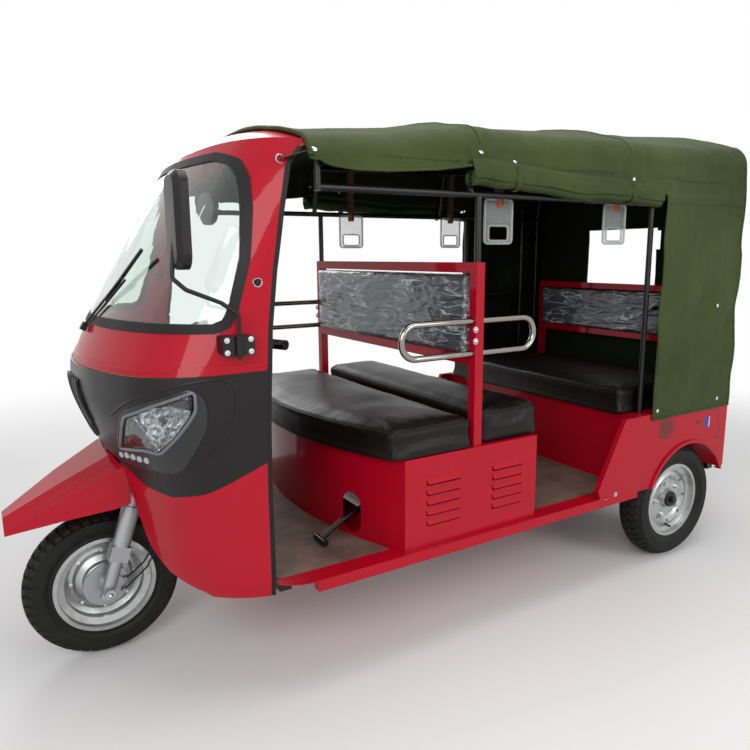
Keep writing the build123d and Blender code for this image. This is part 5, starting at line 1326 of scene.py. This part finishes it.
tail_station = canopy_ribs[0][0]
columns = 150
cloth_front = 1.790
cloth_rear = tail_station + 0.002
stations = [cloth_rear + (cloth_front - cloth_rear) * k / columns for k in range(columns + 1)]
nearest = min(range(len(stations)), key=lambda k: abs(stations[k] - quarter_front))
stations[nearest] = quarter_front
source = bmesh.new()
weave = source.loops.layers.uv.new("weave")
sheet_rows = {}
weave_at = {}
for c, station in enumerate(stations):
    half = along_section(station, cloth_rows(station))
    for side in (1, -1):
        for r, (y, z, length) in enumerate(half):
            if r == 0 and side < 0:
                continue
            below_hem = r > roof_rows + valance_rows
            if below_hem and station > quarter_front + 1e-6:
                continue
            y_signed = side * y
            off = cloth_sag(station, y_signed, z)
            spot = at(station, y_signed, z) + cloth_normal(y_signed, z) * off
            vertex = source.verts.new(spot)
            sheet_rows[(c, side * r)] = vertex
            weave_at[vertex] = (station, side * length)
last_row = roof_rows + valance_rows + drop_rows
for c in range(columns):
    for r in range(-last_row, last_row):
        corners = [sheet_rows.get(key) for key in ((c, r), (c, r + 1), (c + 1, r + 1), (c + 1, r))]
        if None in corners:
            continue
        source.faces.new(corners)
# The back: a panel sewn to the last rib, with its window
window_half, window_low, window_high = 0.220, 1.190, 1.490
back_cols = 60
back = {}
rib_points = {}
edge_keys = [(0, r) for r in range(-last_row, last_row + 1) if (0, r) in sheet_rows]
for key in edge_keys:
    rib_points[key[1]] = sheet_rows[key]
side_keys = range(roof_rows, last_row + 1)
for r in side_keys:
    left, right = rib_points[r], rib_points[-r]
    for k in range(back_cols + 1):
        t = k / back_cols
        if k == 0:
            vertex = left
        elif k == back_cols:
            vertex = right
        else:
            y = left.co.y + (right.co.y - left.co.y) * t
            z = left.co.z + (right.co.z - left.co.z) * t
            belly = 0.006 * noise.noise(Vector((y * 7, z * 3, 4.2)))
            belly += 0.003 * noise.noise(Vector((y * 21, z * 7, 1.2)))
            inward = 0.003 + max(0.0, 0.006 + belly) * min(1.0, 8 * t * (1 - t))
            vertex = source.verts.new((left.co.x + inward, y, z))
            weave_at[vertex] = (z, y)
        back[(r, k)] = vertex
for r in side_keys[:-1]:
    for k in range(back_cols):
        corners = [back[key] for key in ((r, k), (r, k + 1), (r + 1, k + 1), (r + 1, k))]
        middle = sum((v.co for v in corners), Vector()) / 4
        if abs(middle.y) < window_half and window_low < middle.z < window_high:
            continue
        source.faces.new(corners)
gable = [rib_points[r] for r in range(roof_rows, -roof_rows - 1, -1)]
low_edge = [back[(roof_rows, k)] for k in range(back_cols + 1)]
fill_edges = []
for chain in (gable, low_edge):
    for a, b in zip(chain, chain[1:]):
        fill_edges.append(source.edges.get((a, b)) or source.edges.new((a, b)))
filled = bmesh.ops.triangle_fill(source, use_beauty=True, edges=fill_edges)
for element in filled["geom"]:
    if isinstance(element, bmesh.types.BMFace):
        for vertex in element.verts:
            weave_at.setdefault(vertex, (vertex.co.z, vertex.co.y))
for face in source.faces:
    for loop in face.loops:
        loop[weave].uv = weave_at[loop.vert]
cover = shape("canopy_cloth", source, canvas_olive, "body", ("canopy_cover",), sharp=70.0)
# The inner face takes the darker lining: painted shade for the dim underside of the cover.
cover.data.materials.append(lining_with_painted_shade)
wall = cover.modifiers.new("cloth_thickness", "SOLIDIFY")
wall.thickness = 0.0018
wall.offset = -1.0
wall.material_offset = 1
settle(cover)


# Canopy edges: every raw edge is bound with a folded canvas tape, and every seam is a felled ridge.
# Plated press studs hold the valance, the curtain ties and the quarter's lower edge.
cloth_skin = BVHTree.FromPolygons([v.co.copy() for v in cover.data.vertices],
                                  [tuple(p.vertices) for p in cover.data.polygons])
piping = bmesh.new()


def on_cloth(station, y, z, proud=0.0):
    """The nearest place on the cloth's outside."""
    spot, _, _, _ = cloth_skin.find_nearest(at(station, y, z) + cloth_normal(y, z) * 0.02)
    return spot + cloth_normal(y, z) * proud


for side in (1, -1):
    hem_path = [on_cloth(x, side * canopy_half, between(hem_line, x)[0] + 0.003)
                for x in [quarter_front + (cloth_front - 0.004 - quarter_front) * k / 90 for k in range(91)]]
    tube(piping, hem_path, 0.0042, 8)
    tube(piping, [on_cloth(quarter_front - 0.003, side * canopy_half, quarter_low + 0.006 + 0.92 * k / 60)
                  for k in range(61)], 0.0040, 8)
    tube(piping, [on_cloth(tail_station + 0.004 + (quarter_front - tail_station - 0.008) * k / 40,
                           side * canopy_half, quarter_low + 0.006) for k in range(41)], 0.0038, 8)
    tube(piping, [on_cloth(tail_station + 0.010, side * canopy_half, quarter_low + 0.01 + 1.06 * k / 60)
                  for k in range(61)], 0.0030, 6)
    tube(piping, [on_cloth(tail_station + 0.006 + (quarter_front - tail_station - 0.010) * k / 40,
                           side * canopy_half, 1.562) for k in range(41)], 0.0026, 6)
    for station in bows[1:3]:
        points, _ = canopy_section(station)
        hem = between(hem_line, station)[0]
        tube(piping, [on_cloth(station, side * y, z) for y, z in points[:-2] if z > hem + 0.004], 0.0026, 6)
front_points, _ = canopy_section(cloth_front - 0.006)
front_hem = between(hem_line, cloth_front)[0]
front_side = [(y, z) for y, z in front_points if z > front_hem]
tube(piping, [on_cloth(cloth_front - 0.006, y, z) for y, z in
              [(-y, z) for y, z in reversed(front_side[1:])] + front_side], 0.0075, 8)
shape("canopy_piping", piping, canvas_olive, "body")
# columns: station, height of a stud on the side of the cloth
studs = ((1.195, 1.679), (1.031, 1.660), (0.442, 1.642), (0.271, 1.598), (0.212, 0.713), (-0.214, 0.716),
         (-0.150, 1.140), (1.770, 1.664))
stud_places = [(on_cloth(x, side * canopy_half, z, 0.0005), cloth_normal(side * canopy_half, z))
               for x, z in studs for side in (1, -1)]
fasten("canopy_studs", stud_places, zinc, 12, 0.0068, 0.0035, 0.0085, domed=True)


# Front corners: a strap of the cover's canvas runs from each corner to a ring on the cab's pillar.
# The strap is sewn flat; the ring is zinc-plated wire.
ring_at, ring_r, strap_half = (1.886, 0.606, 1.656), 0.011, 0.011
corner_straps, corner_rings = bmesh.new(), bmesh.new()
for side in (1, -1):
    fixed, facing = pinned(pillar_skin, ring_at[0], side * ring_at[1], ring_at[2], 0.0045)
    start = on_cloth(1.772, side * canopy_half, 1.668, 0.001)
    strap = bent([start, start.lerp(fixed, 0.5) + facing * 0.004, fixed], 0.03)
    tube(corner_straps, strap, strap_half, 10, flat=0.14)
    ring = [fixed + Vector((cos(a), 0, sin(a))) * ring_r for a in [2 * pi * k / 24 for k in range(24)]]
    tube(corner_rings, ring, 0.0022, 8, closed=True)
shape("corner_straps", corner_straps, canvas_olive, "body", sharp=50.0)
shape("corner_rings", corner_rings, zinc, "body")


# Grab handles: clear moulded plates with a hand hole, each hung from a rail by a brown webbing strap.
# The rim is thicker than the plate, and an orange tag shows where the strap goes through its slot.
def webbing(name, dark, light):
    made, tree, spot = material(name)
    rib = node(tree, "ShaderNodeTexWave", {"Vector": spot, "Scale": 0.314 / 0.0022}, bands_direction="Z")
    fade = node(tree, "ShaderNodeTexNoise", {"Vector": spot, "Scale": 30.0, "Detail": 4.0})
    tint = node(tree, "ShaderNodeMix", {0: fade.outputs[0], 6: linear(dark), 7: linear(light)},
                data_type="RGBA")
    relief = node(tree, "ShaderNodeBump", {"Height": rib.outputs["Fac"], "Distance": 0.0005, "Strength": 0.6})
    coat = node(tree, "ShaderNodeBsdfPrincipled", {"Base Color": tint.outputs[2], "Roughness": 0.75,
                                                   "Normal": relief.outputs[0]})
    node(tree, "ShaderNodeOutputMaterial", {"Surface": coat.outputs[0]})
    return made


def see_through(name, body_share):
    """Clear acrylic in a thin sheet: what is behind it shows, under its own gloss."""
    made, tree, spot = material(name)
    smear = node(tree, "ShaderNodeTexNoise", {"Vector": spot, "Scale": 40.0, "Detail": 3.0})
    rough = node(tree, "ShaderNodeMapRange", {0: smear.outputs[0], 1: 0.3, 2: 0.7, 3: 0.04, 4: 0.16})
    coat = node(tree, "ShaderNodeBsdfPrincipled", {"Base Color": linear("#B9C0BE"), "Alpha": body_share,
                                                   "Roughness": rough.outputs[0]})
    node(tree, "ShaderNodeOutputMaterial", {"Surface": coat.outputs[0]})
    return made


brown_webbing = webbing("brown_webbing", "#3A2218", "#5B3A28")
orange_tag = webbing("orange_webbing", "#A84A1C", "#C8632C")
plate_half_w, plate_top, plate_low, plate_y = 0.0625, 1.555, 1.405, 0.530
hole_half_w, hole_half_h, hole_z = 0.045, 0.026, 1.440
rail_heights = ((-0.270, 1.797), (1.190, 1.760))
plates, rims, straps, tags = bmesh.new(), bmesh.new(), bmesh.new(), bmesh.new()
for station in (1.020, 0.415):
    for side in (1, -1):
        def on_plate(dx, z, dy=0.0):
            return at(station + dx, side * (plate_y + dy), z)

        outer = rounded([Vector((a * plate_half_w, plate_low + b * (plate_top - plate_low)))
                         for a, b in ((-1, 0), (-1, 1), (1, 1), (1, 0))], 0.016, 0.005)
        hole = rounded([Vector((a * hole_half_w, hole_z + b * hole_half_h))
                        for a, b in ((-1, -1), (-1, 1), (1, 1), (1, -1))], 0.014, 0.004)
        faces_of = []
        for dy in (-0.0016, 0.0016):
            ring = [plates.verts.new(on_plate(p.x, p.y, dy)) for p in outer]
            cut = [plates.verts.new(on_plate(p.x, p.y, dy)) for p in hole]
            edges = [plates.edges.new((loop[k], loop[(k + 1) % len(loop)])) for loop in (ring, cut)
                     for k in range(len(loop))]
            bmesh.ops.triangle_fill(plates, use_beauty=True, edges=edges)
            faces_of.append((ring, cut))
        for inner, outside in zip(*faces_of):
            band(plates, inner, outside)
        tube(rims, [on_plate(p.x, p.y) for p in outer], 0.0045, 8, closed=True)
        tube(rims, [on_plate(p.x, p.y) for p in hole], 0.0038, 8, closed=True)
        rail_z = between(rail_heights, station)[0]
        for off in (-0.0045, 0.0045):
            strap = bent([on_plate(0, plate_top - 0.022, off), on_plate(0.002, plate_top + 0.06, off * 1.5),
                          on_plate(0, rail_z + 0.002, off * 2.2)], 0.05)
            tube(straps, strap, 0.0125, 8, flat=0.10)
        tube(tags, [on_plate(0, plate_top - 0.026, 0.001), on_plate(0, plate_top + 0.020, 0.001)], 0.0135, 8,
             flat=0.55)
shape("handle_plates", plates, see_through("clear_acrylic_plate", 0.26), "body",
      ("grab_handles",), sharp=30.0)
shape("handle_rims", rims, see_through("clear_acrylic_rim", 0.58), "body")
shape("handle_straps", straps, brown_webbing, "body", sharp=50.0)
shape("handle_tags", tags, orange_tag, "body", sharp=50.0)


# Side guards: a black post and rail on each side of the rear bench, inside the canvas.
# Both are steel tube welded together, and painted with the same black enamel as the frame.
guard_post, guard_y, guard_z = -0.150, 0.585, 1.140
guards = bmesh.new()
for side in (1, -1):
    tube(guards, [at(guard_post, side * guard_y, 0.705), at(guard_post, side * guard_y, 1.735)], 0.0105, 12)
    tube(guards, [at(-0.262, side * guard_y, guard_z), at(0.215, side * guard_y, guard_z)], 0.008, 12)
shape("side_guards", guards, enamel, "body")


# Rolled side curtains: each curtain is rolled up under the hem, wrapped in its own slack and tied there.
# The roll is a spiral of the same canvas, so its end shows the turns; two canvas ties go round it.
roll_turns, roll_core, roll_out, roll_rear, roll_front = 2.3, 0.008, 0.026, 0.262, 1.222
roll_y, roll_drop, outermost_y = 0.6165, 0.066, 0.6462
tie_stations = (0.442, 1.031)
for side, label in ((1, "left"), (-1, "right")):
    source = bmesh.new()
    weave = source.loops.layers.uv.new("weave")
    rows, uv_of = [], {}
    lengths, spiral = 90, 70
    for c in range(lengths + 1):
        share = c / lengths
        station = roll_rear + (roll_front - roll_rear) * share
        hem = between(hem_line, station)[0]
        tied = max(0.0, 1 - min(abs(station - t) for t in tie_stations) / 0.07)
        low = hem - roll_drop - 0.006 * sin(pi * share * 3.0) ** 2 * (1 - tied)
        puff = 1.0 - 0.14 * tied + 0.05 * noise.noise(Vector((station * 6, side, 1.0)))
        middle_z = low + roll_out
        ring = []
        wrap = [(0.6290, hem + 0.022), (0.6335, hem + 0.008), (0.6400, hem - 0.008), (0.6430, hem - 0.024)]
        for y, z in wrap:
            wave = 0.0022 * noise.noise(Vector((station * 11, z * 24, side)))
            ring.append((min(outermost_y, y + wave), z))
        for k in range(spiral + 1):
            t = k / spiral
            angle = pi / 2 - 2 * pi * roll_turns * t
            r = (roll_out + (roll_core - roll_out) * t) * (puff if t < 0.35 else 1.0)
            r += 0.0014 * noise.noise(Vector((station * 12, angle * 1.3, 2.0 + side))) * (1 - t)
            ring.append((min(outermost_y, roll_y + r * sin(angle)), middle_z + r * cos(angle)))
        verts = [source.verts.new(at(station, side * y, z)) for y, z in ring]
        travelled = 0.0
        for index, vertex in enumerate(verts):
            travelled += (vertex.co - verts[index - 1].co).length if index else 0.0
            uv_of[vertex] = (station, travelled)
        rows.append(verts)
    for here, ahead in zip(rows, rows[1:]):
        for k in range(len(here) - 1):
            face = source.faces.new((here[k], here[k + 1], ahead[k + 1], ahead[k]))
            for loop in face.loops:
                loop[weave].uv = uv_of[loop.vert]
    roll = shape("rolled_curtain_" + label, source, canvas_olive, "body",
                 ("rolled_curtains",) if side > 0 else (), sharp=70.0)
    wall = roll.modifiers.new("cloth_thickness", "SOLIDIFY")
    wall.thickness = 0.0016
    settle(roll)
    ties = bmesh.new()
    for station in tie_stations:
        hem = between(hem_line, station)[0]
        loop_z = hem - roll_drop + roll_out
        path = [at(station, side * 0.6395, hem + 0.014), at(station, side * 0.6455, hem - 0.012)]
        path += [at(station, side * (roll_y + 0.0280 * sin(a)), loop_z + 0.0275 * cos(a))
                 for a in [pi / 2 + pi * k / 14 for k in range(15)]]
        tube(ties, path, 0.0085, 8, flat=0.16)
    shape("curtain_ties_" + label, ties, canvas_olive, "body")


low, high = cad_box
